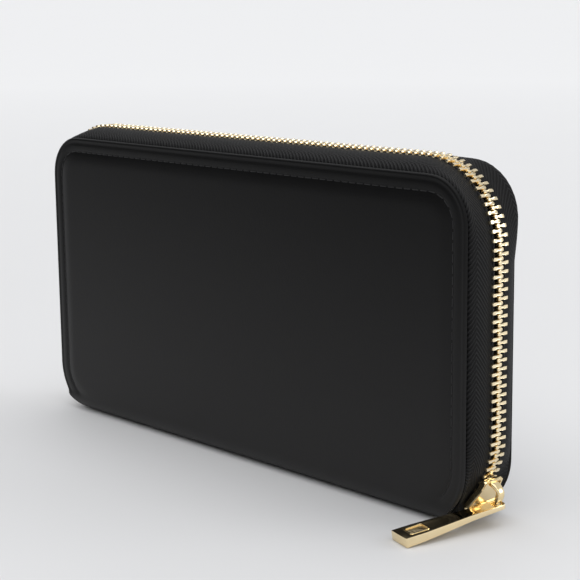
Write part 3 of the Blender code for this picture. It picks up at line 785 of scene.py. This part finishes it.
def make_cover():
    """The outer leather in one piece, from the front cover round to the back."""
    proud = HALF_DEPTH + BORDER_SINK
    cover = wrapped_sheet("cover_leather_wrap", 0.0, proud, FOLD_RADIUS, 0.0, cover_relief)
    apply_modifier(cover, "SUBSURF", levels=1, render_levels=1)
    face_away_from_middle(cover)
    thicken(cover, COVER_THICKNESS, -1.0)
    bevel(cover, COVER_EDGE_ROUND, 3, 50)
    smooth(cover, 60)
    finish_piece(cover, cover_leather, None, ("front_cover", "front_fold", "back_cover"))
    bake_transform(cover)


def stitch_line_points():
    """Evenly spaced points and directions along the seam, round three sides."""
    seam = (
        (HALF_LENGTH - TOP_RADIUS, 0.0),
        ((TOP_RADIUS - STITCH_INSET) * math.pi / 2, math.pi / 2),
        (HEIGHT - TOP_RADIUS - BOTTOM_RADIUS, 0.0),
        ((BOTTOM_RADIUS - STITCH_INSET) * SEAM_END_TURN, SEAM_END_TURN),
    )
    count = int(sum(length for length, turn in seam) / STITCH_PITCH - 0.5)
    found = []
    for number in range(-count, count):
        distance = (number + 0.5) * STITCH_PITCH
        found.append(on_side(walk(seam, HEIGHT - STITCH_INSET, abs(distance)), distance))
    return found


def make_stitches(name, side, body):
    """One seam of separate stitches, each a short dipped thread."""
    deselect()
    bpy.ops.mesh.primitive_cylinder_add(vertices=8, radius=STITCH_RADIUS, depth=STITCH_LENGTH)
    stitch = bpy.context.active_object
    edit_all(stitch)
    bpy.ops.mesh.bevel(offset=STITCH_END_ROUND, segments=2, affect="EDGES")
    leave_edit()
    across = Vector((0.0, float(side), 0.0))
    matrices = []
    for point, normal in stitch_line_points():
        along = normal.cross(across)
        turn = Matrix((normal, across, along)).transposed().to_4x4()
        sunk = cover_relief(STITCH_INSET) * fade_at(point.x, point.z)
        depth = HALF_DEPTH + BORDER_SINK - sunk + STITCH_PROUD
        matrices.append(Matrix.Translation(point + across * depth) @ turn)
    seam = copies(name, stitch, matrices)
    turn_outwards(seam)
    smooth(seam, 60)
    finish_piece(seam, thread_black, body)


# --- Main zip ----------------------------------------------------------------

TAPE_EDGE_LAYER = 9.1 * MM
TAPE_BEAD_LAYER = 2.3 * MM
TAPE_BEND = 0.7
TAPE_CREST = 0.86
TAPE_ROWS = 18
TAPE_SEWN = (-6.0, -3.0, -1.2, -0.4)
STATION_COUNTS = (24, 16, 18, 8, 6, 8)
PUFF_LEAN = 0.6
CORD_LAYER = 2.35 * MM
CORD_RADIUS = 0.62 * MM
CORD_RING = 9
TOOTH_OUTLINE = (
    (0.50, 3.05), (0.50, 1.75), (0.36, 1.35), (0.36, 0.55), (0.56, 0.20), (0.58, -0.45), (0.34, -0.95),
)
TOOTH_HALF_DEPTH = 1.2 * MM
TOOTH_WAIST = (0.3 * MM, 1.6 * MM)
WAIST_SHARE = 0.86
TOOTH_WIDTH = 1.0 * MM
STOP_HALF_LENGTH = 1.0
STOP_HALF_DEPTH = 1.3 * MM
TAPE_BLEND = ((0.0, -3.3 * MM, 6.0 * MM), (0.0, -9.18 * MM, 7.7 * MM))
CHAIN_BLEND = ((0.0, 0.0, 6.0 * MM), (0.0, 0.0, 28.0 * MM))
CORNER_PUFF = 2.5 * MM
PUFF_REACH = 28.0 * MM


def tape_section():
    """Rows across the tape: (share of the way to the chain, offset, layer, spread share)."""
    sewn = [(0.0, offset * MM, TAPE_EDGE_LAYER, 0.0) for offset in TAPE_SEWN]
    shown = []
    for step in range(1, TAPE_ROWS + 1):
        share = step / TAPE_ROWS
        layer = TAPE_EDGE_LAYER + (TAPE_BEAD_LAYER - TAPE_EDGE_LAYER) * share
        rise = min(math.sin(math.pi / 2 * min(share / TAPE_CREST, 1.0)) ** TAPE_BEND, 1.0)
        shown.append((rise, 0.0, layer, smoothstep(share / TAPE_CREST)))
    return sewn + shown


def tape_stations():
    """Signed distances along the chain where the tape has a cross-section."""
    half = []
    for index, count in enumerate(STATION_COUNTS):
        start, end = CHAIN_MARKS[index], CHAIN_MARKS[index + 1]
        half += [start + (end - start) * step / count for step in range(1, count + 1)]
    return [-distance for distance in reversed(half)] + [0.0] + half


def make_tape(name, side, body, replaced):
    """A woven tape from behind the cover out to the teeth, the back one puffed at the corners."""
    stations = tape_stations()
    section = tape_section()

    def place(column, row):
        distance = stations[column]
        share, offset, layer, spread_share = section[row]
        chain_point, chain_normal = chain_at(distance)
        edge_point, edge_normal = edge_at(distance)
        centre = edge_point.lerp(chain_point, share)
        normal = edge_normal.lerp(chain_normal, share).normalized()
        away = side * (layer + spread_share * spread_at(distance))
        corner = (abs(distance) - (CHAIN_MARKS[1] + CHAIN_MARKS[2]) / 2) / PUFF_REACH
        puff = CORNER_PUFF * (0.5 + 0.5 * side) * max(1.0 - corner ** 2, 0.0) ** 2
        puff *= math.sin(math.pi * share ** PUFF_LEAN) if offset == 0.0 else 0.0
        point = centre + normal * (offset + puff) + Vector((0.0, away, 0.0))
        return point, (distance, TAPE_EDGE_LAYER - layer)

    tape = grid_sheet(name, len(stations), len(section), place)
    thicken(tape, TAPE_THICKNESS)
    turn_outwards(tape)
    smooth(tape, 60)
    finish_piece(tape, tape_cloth, body, (replaced,))
    return tape


def make_cord(name, side, body):
    """The corded edge that the teeth clamp."""
    stations = tape_stations()

    def place(column, row):
        matrix = chain_matrix(stations[column], side)
        angle = 2 * math.pi * row / (CORD_RING - 1)
        local = Vector((0.0, CORD_LAYER + CORD_RADIUS * math.cos(angle), CORD_RADIUS * math.sin(angle)))
        return matrix @ local, (stations[column], angle * 0.6 * MM)

    cord = grid_sheet(name, len(stations), CORD_RING, place)
    edit_all(cord)
    bpy.ops.mesh.remove_doubles(threshold=0.00001)
    leave_edit()
    edit_all(cord)
    bpy.ops.mesh.select_all(action="DESELECT")
    bpy.ops.mesh.select_non_manifold()
    bpy.ops.mesh.edge_face_add()
    leave_edit()
    turn_outwards(cord)
    smooth(cord, 60)
    finish_piece(cord, tape_cloth, body)
    return cord


def make_tooth():
    """One tooth: two legs clamped on the cord, a neck and a bulged head."""
    half = millimetres(TOOTH_OUTLINE)
    outline = half + [(-x, y) for x, y in reversed(half)]
    tooth = outline_solid("tooth", outline, -TOOTH_HALF_DEPTH, TOOTH_HALF_DEPTH)
    for vert in tooth.data.vertices:
        if TOOTH_WAIST[0] < vert.co.y < TOOTH_WAIST[1]:
            vert.co.z *= WAIST_SHARE
    bevel(tooth, 0.13 * MM, 2, 45)
    return tooth


def make_teeth(name, side, phase, replaced):
    """One row of separate interlocking teeth along the chain."""
    start = -HALF_CHAIN + ROW_END_CLEARANCE
    end = HALF_CHAIN - ROW_END_CLEARANCE
    count = int((end - start - phase - TOOTH_WIDTH) / TOOTH_PITCH)
    first = start + phase + TOOTH_WIDTH / 2
    places = [first + number * TOOTH_PITCH for number in range(count + 1)]
    row = copies(name, make_tooth(), [chain_matrix(distance, side) for distance in places])
    smooth(row, 40)
    finish_piece(row, tooth_gold, None, (replaced,))
    return row


def make_stop(name, side, distance, half_width, middle, body):
    """A pressed metal stop round the cord."""
    near, far, end = middle - half_width, middle + half_width, STOP_HALF_LENGTH
    outline = millimetres([(-end, near), (end, near), (end, far), (-end, far)])
    stop = outline_solid(name, outline, -STOP_HALF_DEPTH, STOP_HALF_DEPTH)
    bevel(stop, 0.35 * MM, 3)
    settle(stop, chain_matrix(distance, side))
    smooth(stop, 40)
    finish_piece(stop, tooth_gold, body, (name.replace("pressed_", "zip_"),))


def bend_with_front(obj, tape):
    """Put a front-half piece's placement into its mesh; the blend ranges picked for tape or chain are not
    used.
    """
    start, end = TAPE_BLEND if tape else CHAIN_BLEND
    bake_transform(obj)
    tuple(start)
    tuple(end)


def make_main_zip():
    """Tapes, cords, teeth and stops of the zip-around closure."""
    bend_with_front(make_tape("herringbone_tape_front", -1, None, "zip_tape_front"), True)
    make_tape("herringbone_tape_back", 1, "back_half", "zip_tape_back")
    bend_with_front(make_cord("tape_cord_front", -1, None), False)
    make_cord("tape_cord_back", 1, "back_half")
    bend_with_front(make_teeth("teeth_row_front", -1, 0.0, "zip_teeth_front"), False)
    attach(make_teeth("teeth_row_back", 1, TOOTH_PITCH / 2, "zip_teeth_back"), "back_half")
    stop_at = HALF_CHAIN - ROW_END_CLEARANCE / 2
    make_stop("pressed_top_stop_front", -1, stop_at, 1.7, 1.3, "back_half")
    make_stop("pressed_top_stop_back", 1, stop_at, 1.7, 1.3, "back_half")
    make_stop("pressed_bottom_stop", 1, -stop_at, 3.0, 0.0, "back_half")


# --- Slider and pull ---------------------------------------------------------

def slider_matrix(order):
    """Axes at the slider's middle, in the order asked for."""
    point, normal = chain_at(SLIDER_AT)
    across = Vector((0.0, 1.0, 0.0))
    along = Vector((-normal.z, 0.0, normal.x))
    axes = {"across": across, "along": along, "out": normal}
    turn = Matrix([axes[name] for name in order]).transposed().to_4x4()
    return Matrix.Translation(point) @ turn


def slider_outline(inset=0.0):
    """The slider plate seen from outside: a collar that flares to a wide mouth."""
    side = []
    for along, half in (
        (5.0, 3.3), (4.6, 3.75), (3.6, 3.8), (2.4, 3.9), (1.2, 4.3), (0.0, 4.95),
        (-1.2, 5.65), (-2.4, 6.3), (-3.5, 6.8), (-4.3, 6.95), (-4.8, 6.6), (-5.0, 5.8),
    ):
        side.append(((half - inset) * MM, (along - math.copysign(inset, along) * (abs(along) > 4.4)) * MM))
    return side + [(-across, along) for across, along in reversed(side)]


def make_slider():
    """The cast slider: dished outer plate, inner plate, wedge and side flanges."""
    body = outline_solid("cast_slider", slider_outline(), 1.6 * MM, 2.9 * MM)
    dish = outline_solid("dish", slider_outline(0.6), 2.3 * MM, 3.4 * MM)
    cut(body, dish)
    cut(body, outline_solid("inner_plate", slider_outline(), -2.6 * MM, -1.6 * MM), "UNION")
    wedge = [(0.0, -1.5), (0.55, -3.2), (0.95, -4.8), (-0.95, -4.8), (-0.55, -3.2)]
    cut(body, outline_solid("wedge", millimetres(wedge), -2.2 * MM, 2.3 * MM), "UNION")
    half = len(slider_outline()) // 2
    outer = slider_outline()[1:half - 1]
    inner = slider_outline(0.62)[1:half - 1]
    for mirror in (1, -1):
        rail = [(mirror * x, y) for x, y in outer + list(reversed(inner))]
        for low, high in ((1.1 * MM, 2.3 * MM), (-2.3 * MM, -0.55 * MM)):
            cut(body, outline_solid("flange", rail, low, high), "UNION")
    bevel(body, 0.20 * MM, 3, 40)
    settle(body, slider_matrix(("across", "along", "out")))
    smooth(body, 40)
    finish_piece(body, slider_gold, "zip_slider", ("slider_body",))


def make_crown():
    """The arched bridge along the slider that the pull hangs from."""
    outer = [
        (-4.7, 2.3), (-4.75, 4.6), (-4.4, 6.0), (-3.6, 6.95), (-2.4, 7.3), (0.0, 7.35), (2.2, 7.2),
        (3.4, 6.7), (4.2, 5.6), (4.55, 4.2), (4.6, 2.3),
    ]
    inner = [
        (3.3, 2.3), (3.2, 4.2), (2.9, 5.3), (2.2, 6.0), (0.0, 6.2), (-2.4, 6.15), (-3.1, 5.6),
        (-3.4, 4.4), (-3.45, 2.3),
    ]
    crown = outline_solid("arched_crown", millimetres(outer + inner), -1.25 * MM, 1.25 * MM)
    for vert in crown.data.vertices:
        foot = smoothstep((4.6 * MM - vert.co.y) / (2.2 * MM))
        vert.co.z *= 1.0 + 0.35 * foot
    bevel(crown, 0.36 * MM, 3, 40)
    settle(crown, slider_matrix(("along", "out", "across")))
    smooth(crown, 40)
    finish_piece(crown, slider_gold, "zip_slider", ("slider_crown",))


def rounded_box(half_length, half_width, radius, centre=0.0, steps=4):
    """A rounded rectangle about a place on X."""
    points = []
    for corner_x, corner_y, start in ((1, 1, 0), (-1, 1, 90), (-1, -1, 180), (1, -1, 270)):
        for step in range(steps + 1):
            angle = math.radians(start + 90 * step / steps)
            x = corner_x * (half_length - radius) + radius * math.cos(angle)
            y = corner_y * (half_width - radius) + radius * math.sin(angle)
            points.append((centre + x, y))
    return points


def pull_matrix():
    """The pull's axes at its pivot: X runs from the far end to the crown."""
    clearance = 0.1 * MM
    tilt = math.asin((PULL_AT.z - TAB_FAR_THICKNESS / 2 - clearance) / TAB_LENGTH)
    turn = Matrix.Rotation(math.pi / 2 - TAB_YAW, 4, "Z") @ Matrix.Rotation(-tilt, 4, "Y")
    return Matrix.Translation(PULL_AT) @ turn


def pull_thickness(x):
    """The pull's thickness at a place along it."""
    share = min(max(-x / TAB_LENGTH, 0.0), 1.0)
    return TAB_NEAR_THICKNESS + (TAB_FAR_THICKNESS - TAB_NEAR_THICKNESS) * share


def make_pull():
    """The bar pull: mirror-polished wedge, an eye, and a framed window."""
    far = -TAB_LENGTH
    side = [
        (far, TAB_HALF_WIDTH), (-26.0 * MM, TAB_HALF_WIDTH), (-18.0 * MM, 3.35 * MM),
        (-9.5 * MM, 2.55 * MM), (0.4 * MM, 2.5 * MM), (1.5 * MM, 2.1 * MM), (2.0 * MM, 1.2 * MM),
    ]
    outline = side + [(x, -y) for x, y in reversed(side)]
    pull = outline_solid("bar_pull", outline, -TAB_FAR_THICKNESS / 2, TAB_FAR_THICKNESS / 2)
    for vert in pull.data.vertices:
        vert.co.z *= pull_thickness(vert.co.x) / TAB_FAR_THICKNESS
    window_at = far + 5.8 * MM
    cut(pull, outline_solid("eye", rounded_box(1.7 * MM, 1.5 * MM, 0.7 * MM), -3 * MM, 3 * MM))
    sunk = pull_thickness(window_at) / 2 - 0.55 * MM
    cut(pull, outline_solid("window", rounded_box(3.0 * MM, 2.3 * MM, 0.9 * MM, window_at), sunk, 4 * MM))
    bevel(pull, 0.11 * MM, 2, 30)
    settle(pull, pull_matrix())
    smooth(pull, 25)
    finish_piece(pull, pull_gold, "pull", ("pull_tab",))
    make_window(window_at)


def make_window(window_at):
    """The window's raised frame and the bright faceted plate inside it."""
    top = pull_thickness(window_at) / 2
    floor = top - 0.53 * MM
    outer = rounded_box(3.2 * MM, 2.5 * MM, 1.1 * MM, window_at, 6)
    ring = outline_solid("pull_window_frame", outer, floor, top + 0.16 * MM)
    inner = rounded_box(2.7 * MM, 2.0 * MM, 0.7 * MM, window_at, 6)
    cut(ring, outline_solid("hole", inner, -5 * MM, 5 * MM))
    bevel(ring, 0.12 * MM, 3, 30)
    seat = rounded_box(2.69 * MM, 1.99 * MM, 0.7 * MM, window_at, 6)
    plate = outline_solid("pull_window_plate", seat, floor, top - 0.35 * MM)
    edit_all(plate)
    bpy.ops.mesh.select_all(action="DESELECT")
    leave_edit()
    for face in plate.data.polygons:
        face.select = face.normal.z > 0.9
    bpy.ops.object.mode_set(mode="EDIT")
    bpy.ops.mesh.inset(thickness=1.1 * MM, depth=0.30 * MM)
    leave_edit()
    for obj, material in ((ring, slider_gold), (plate, plate_gold)):
        settle(obj, pull_matrix())
        smooth(obj, 20)
        finish_piece(obj, material, "pull")


# --- Inside ------------------------------------------------------------------

CLOTH_THICKNESS = 0.4 * MM
SMALLEST_SHEET = 10.0 * MM


def make_lining():
    """One lining from the front round the spine to the back."""
    inset, half_depth, fold_radius, base = 2.5 * MM, 7.7 * MM, 1.95 * MM, 2.45 * MM
    lining = wrapped_sheet("inner_lining", inset, half_depth, fold_radius, base, flat_relief)
    width, drop = 2 * (HALF_LENGTH - inset), 2 * (HEIGHT - inset) + 2 * half_depth
    cloth(lining, width, drop, CLOTH_THICKNESS)
    turn_outwards(lining)
    smooth(lining, 50)
    linings = ("front_lining", "back_lining", "spine_lining")
    finish_piece(lining, lining_cloth, None, linings)
    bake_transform(lining)


def make_card_slots(side, body, prefix):
    """Three stepped strips of card slots, each with two mouths."""
    for number in (1, 2, 3):
        low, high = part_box(f"{prefix}_card_slot_{number}")
        middle = (low[1] + high[1]) / 2
        columns, rows = 61, 25

        def place(column, row):
            share = column / (columns - 1)
            x = low[0] + (high[0] - low[0]) * share
            up = row / (rows - 1)
            pocket = abs(math.sin(math.pi * 2 * share))
            dip = 1.6 * MM * smoothstep((up - 0.6) / 0.4) * (pocket ** 0.5)
            z = low[2] + (high[2] - low[2]) * up - dip * smoothstep(pocket * 3)
            swell = 0.10 * MM * pocket * math.sin(math.pi * up)
            return Vector((x, middle - side * swell, z)), (x, z)

        strip = grid_sheet(f"{prefix}_slot_strip_{number}", columns, rows, place)
        thicken(strip, 0.42 * MM)
        turn_outwards(strip)
        bevel(strip, 0.12 * MM, 2, 50)
        smooth(strip, 50)
        finish_piece(strip, slot_leather, body, (f"{prefix}_card_slot_{number}",))


def make_gusset(name, sign):
    """A pleated side wall, built in its closed shape."""
    half = (
        (90.0, -7.0), (88.8, -5.9), (87.0, -5.15), (83.0, -4.5), (79.2, -4.0), (78.5, -3.7),
        (79.2, -3.35), (83.0, -2.6), (86.6, -1.75), (88.1, -0.9), (88.5, 0.0),
    )
    plan = half + tuple((x, -y) for x, y in reversed(half[:-1]))
    low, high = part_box("gusset_right")
    rows = 15

    def place(column, row):
        x, y = plan[column]
        up = row / (rows - 1)
        z = low[2] + (high[2] - low[2]) * up
        dip = 1.5 * MM * up * (90.0 - x) / 11.5
        return Vector((sign * x * MM, y * MM, z - dip)), (column * 1.9 * MM, z)

    gusset = grid_sheet(name, len(plan), rows, place)
    apply_modifier(gusset, "SUBSURF", levels=1, render_levels=1)
    width = sum(math.dist(first, second) for first, second in zip(plan, plan[1:])) * MM
    cloth(gusset, width, high[2] - low[2], CLOTH_THICKNESS)
    turn_outwards(gusset)
    smooth(gusset, 60)
    finish_piece(gusset, lining_cloth, None, (name.replace("pleated_", ""),))
    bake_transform(gusset)


def make_coin_pocket():
    """The coin pocket's two walls, its zip tapes and its nylon coils."""
    for prefix, side in (("coin_front", -1), ("coin_back", 1)):
        wall_low, wall_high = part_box(prefix + "_wall")
        tape_low, tape_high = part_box(prefix + "_tape")
        wall = make_wall(prefix + "_pocket_wall", wall_low, wall_high, side, 49, 21, 0.14 * MM)
        finish_piece(wall, slot_leather, "coin_pocket", (prefix + "_wall",))
        tape = make_wall(prefix + "_zip_tape", tape_low, tape_high, side, 49, 5, 0.0)
        finish_piece(tape, coin_tape_cloth, "coin_pocket", (prefix + "_tape",))
        make_coil(prefix, side)


def make_wall(name, low, high, side, columns, rows, swell):
    """An upright sheet between two corners, with a slight swell."""
    middle = (low[1] + high[1]) / 2

    def place(column, row):
        share, up = column / (columns - 1), row / (rows - 1)
        x = low[0] + (high[0] - low[0]) * share
        z = low[2] + (high[2] - low[2]) * up
        out = swell * math.sin(math.pi * share) * math.sin(math.pi * up)
        return Vector((x, middle + side * out, z)), (x, z - low[2])

    wall = grid_sheet(name, columns, rows, place)
    thickness = high[1] - low[1] - 0.05 * MM
    length, drop = (high[0] - low[0]) * 1.001, (high[2] - low[2]) * 1.001
    if drop > SMALLEST_SHEET:
        cloth(wall, length, drop, thickness)
    else:
        thicken(wall, thickness)
    turn_outwards(wall)
    bevel(wall, 0.1 * MM, 2, 50)
    smooth(wall, 50)
    return wall


def make_coil(prefix, side):
    """One nylon coil: a row of small rounded turns along the pocket's mouth."""
    low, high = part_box(prefix + "_teeth")
    deselect()
    bpy.ops.mesh.primitive_cube_add(size=1.0)
    turn = bpy.context.active_object
    turn.data.transform(Matrix.Diagonal((0.72 * MM, high[1] - low[1], high[2] - low[2], 1.0)))
    bevel(turn, 0.24 * MM, 2)
    pitch = 1.25 * MM
    count = int((high[0] - low[0] - pitch) / pitch)
    middle = Vector((0.0, (low[1] + high[1]) / 2, (low[2] + high[2]) / 2))
    shift = 0.25 * pitch * side
    slant = Matrix.Rotation(math.radians(12 * side), 4, "Z")
    matrices = []
    for number in range(count + 1):
        x = low[0] + pitch / 2 + 0.3 * MM + number * pitch + shift
        matrices.append(Matrix.Translation(middle + Vector((x, 0.0, 0.0))) @ slant)
    coil = copies(prefix + "_coil", turn, matrices)
    smooth(coil, 40)
    finish_piece(coil, nylon_black, "coin_pocket", (prefix + "_teeth",))


def make_coin_slider():
    """The small slider over the coils, and its pull."""
    low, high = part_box("coin_slider")
    foot, top = low[2], high[2]
    outline = [
        (-2.4 * MM, foot), (-1.8 * MM, foot), (-1.8 * MM, top - 1.0 * MM), (1.8 * MM, top - 1.0 * MM),
        (1.8 * MM, foot), (2.4 * MM, foot), (2.4 * MM, top), (-2.4 * MM, top),
    ]
    half = (high[0] - low[0]) / 2
    slider = outline_solid("coin_zip_slider_body", outline, -half, half)
    along = Matrix.Rotation(math.pi / 2, 4, "Z") @ Matrix.Rotation(math.pi / 2, 4, "X")
    bevel(slider, 0.22 * MM, 3)
    settle(slider, Matrix.Translation(((low[0] + high[0]) / 2, 0.0, 0.0)) @ along)
    smooth(slider, 40)
    finish_piece(slider, slider_gold, "coin_zip_slider", ("coin_slider",))
    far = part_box("coin_pull")[0][0] - COIN_PULL_AT.x
    end = far / MM
    side = [(0.4, 1.1), (-2.0, 1.4), (-4.0, 1.8), (end + 1.4, 1.8), (end + 0.4, 1.3), (end, 0.5)]
    points = millimetres(side + [(x, -y) for x, y in reversed(side)])
    pull = outline_solid("coin_zip_bar_pull", points, -0.45 * MM, 0.45 * MM)
    hole = rounded_box(1.6 * MM, 0.8 * MM, 0.75 * MM, far + 3.2 * MM)
    cut(pull, outline_solid("hole", hole, -2 * MM, 2 * MM))
    bevel(pull, 0.15 * MM, 2, 40)
    settle(pull, Matrix.Translation(COIN_PULL_AT))
    smooth(pull, 40)
    finish_piece(pull, slider_gold, "coin_zip_pull", ("coin_pull",))


def finish_hidden_nodes():
    """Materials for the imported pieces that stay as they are, inside the covers."""
    kept = {
        "front_board": board_brown, "back_board": board_brown, "spine_board": board_brown,
        "front_padding": foam_grey, "back_padding": foam_grey,
    }
    for name, material in kept.items():
        obj = frame["nodes"][name]
        obj.data.materials.clear()
        obj.data.materials.append(material)


# --- Floor, light and camera -------------------------------------------------

def make_floor():
    """A pale floor, with painted shade that darkens it near the wallet."""
    deselect()
    bpy.ops.mesh.primitive_plane_add(size=400.0)
    floor = bpy.context.active_object
    floor.name = "studio_floor"
    paint = plain_material("pale_floor_painted_shade", (0.80, 0.80, 0.805), 0.65)
    grain = noise(paint, coordinates(paint), 9.0, 2.0)
    centre = node(paint, "ShaderNodeVectorMath", Vector=coordinates(paint))
    centre.operation = "LENGTH"
    # Painted shade: the floor is painted darker from 2.2 m in to 0.35 m from the wallet.
    away = node(paint, "ShaderNodeMapRange", i0=centre.outputs["Value"], i1=0.35, i2=2.2, i3=0.0, i4=0.94)
    mottle_and_painted_light = plus(paint, away.outputs[0], times(paint, grain, 0.06))
    connect(paint, Base_Color=two_colours(paint, mottle_and_painted_light, (0.685, 0.685, 0.69), (0.815, 0.815, 0.82)))
    floor.data.materials.append(paint)
    floor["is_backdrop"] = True


def add_area(name, location, target, size, power):
    """A soft square light aimed at a point."""
    light = bpy.data.lights.new(name, "AREA")
    light.size = size
    light.energy = power
    obj = bpy.data.objects.new(name, light)
    direction = Vector(target) - Vector(location)
    turn = direction.to_track_quat("-Z", "Y").to_matrix().to_4x4()
    obj.matrix_world = Matrix.Translation(location) @ turn
    bpy.context.scene.collection.objects.link(obj)


def add_sun(name, direction, strength, spread):
    """A wide soft sun, which lights the whole floor evenly."""
    light = bpy.data.lights.new(name, "SUN")
    light.energy = strength
    light.angle = math.radians(spread)
    obj = bpy.data.objects.new(name, light)
    obj.matrix_world = Vector(direction).to_track_quat("-Z", "Y").to_matrix().to_4x4()
    bpy.context.scene.collection.objects.link(obj)


def make_world():
    """A pale surround that is darker low down on the front left."""
    world = bpy.data.worlds.new("studio")
    world.use_nodes = True
    tree = world.node_tree
    background = tree.nodes["Background"]
    place = tree.nodes.new("ShaderNodeTexCoord")
    facing = tree.nodes.new("ShaderNodeVectorMath")
    facing.operation = "DOT_PRODUCT"
    facing.inputs[1].default_value = (-0.68, -0.73, 0.0)
    shade = tree.nodes.new("ShaderNodeMapRange")
    shade.interpolation_type = "SMOOTHSTEP"
    shade.inputs["From Min"].default_value = 0.25
    shade.inputs["From Max"].default_value = 0.95
    shade.inputs["To Min"].default_value = 0.72
    shade.inputs["To Max"].default_value = 0.06
    tree.links.new(place.outputs["Generated"], facing.inputs[0])
    tree.links.new(facing.outputs["Value"], shade.inputs["Value"])
    tree.links.new(shade.outputs["Result"], background.inputs["Strength"])
    background.inputs["Color"].default_value = (0.97, 0.98, 1.0, 1.0)
    bpy.context.scene.world = world


def make_lights():
    """Soft studio light: broad overhead, a side softbox for the metal, and one by the camera."""
    make_world()
    add_sun("overhead_light", (0.10, 0.22, -1.0), 1.55, 80)
    add_area("side_softbox", (1.3, 1.1, 0.55), (0.09, 0.0, 0.05), 0.9, 7.0)
    add_area("camera_side_light", (1.1, -1.2, 1.0), (0.05, 0.0, 0.05), 0.5, 2.0)


CAMERA_ANGLES = (47.33, 10.78, -0.66)
CAMERA_TARGET = (15.8 * MM, 0.0, 56.9 * MM)
CAMERA_DISTANCE = 0.4906
CAMERA_LENS = 96.1


def make_camera():
    """The camera, from the front right and slightly above."""
    azimuth, elevation, roll = (math.radians(angle) for angle in CAMERA_ANGLES)
    target = Vector(CAMERA_TARGET)
    away = Vector((
        math.sin(azimuth) * math.cos(elevation),
        -math.cos(azimuth) * math.cos(elevation),
        math.sin(elevation),
    ))
    right = (-away).cross(Vector((0.0, 0.0, 1.0))).normalized()
    up = right.cross(-away)
    turned_right = right * math.cos(roll) + up * math.sin(roll)
    turned_up = up * math.cos(roll) - right * math.sin(roll)
    camera = bpy.data.cameras.new("camera")
    camera.lens = CAMERA_LENS
    camera.sensor_width = 36.0
    camera.clip_start = 0.01
    obj = bpy.data.objects.new("camera", camera)
    turn = Matrix((turned_right, turned_up, away)).transposed().to_4x4()
    obj.matrix_world = Matrix.Translation(target + away * CAMERA_DISTANCE) @ turn
    bpy.context.scene.collection.objects.link(obj)
    bpy.context.scene.camera = obj


make_camera()
make_floor()
make_lights()
bpy.context.scene.view_settings.view_transform = "Standard"
make_cover()
make_stitches("seam_front", -1, "front_half")
make_stitches("seam_back", 1, "back_half")
make_main_zip()
make_slider()
make_crown()
make_pull()
make_lining()
make_card_slots(-1, "front_half", "front")
make_card_slots(1, "back_half", "back")
make_gusset("pleated_gusset_right", 1)
make_gusset("pleated_gusset_left", -1)
make_coin_pocket()
make_coin_slider()
finish_hidden_nodes()

visual_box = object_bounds()
[[list(map(float, corner)) for corner in box] for box in (cad_box, visual_box)]
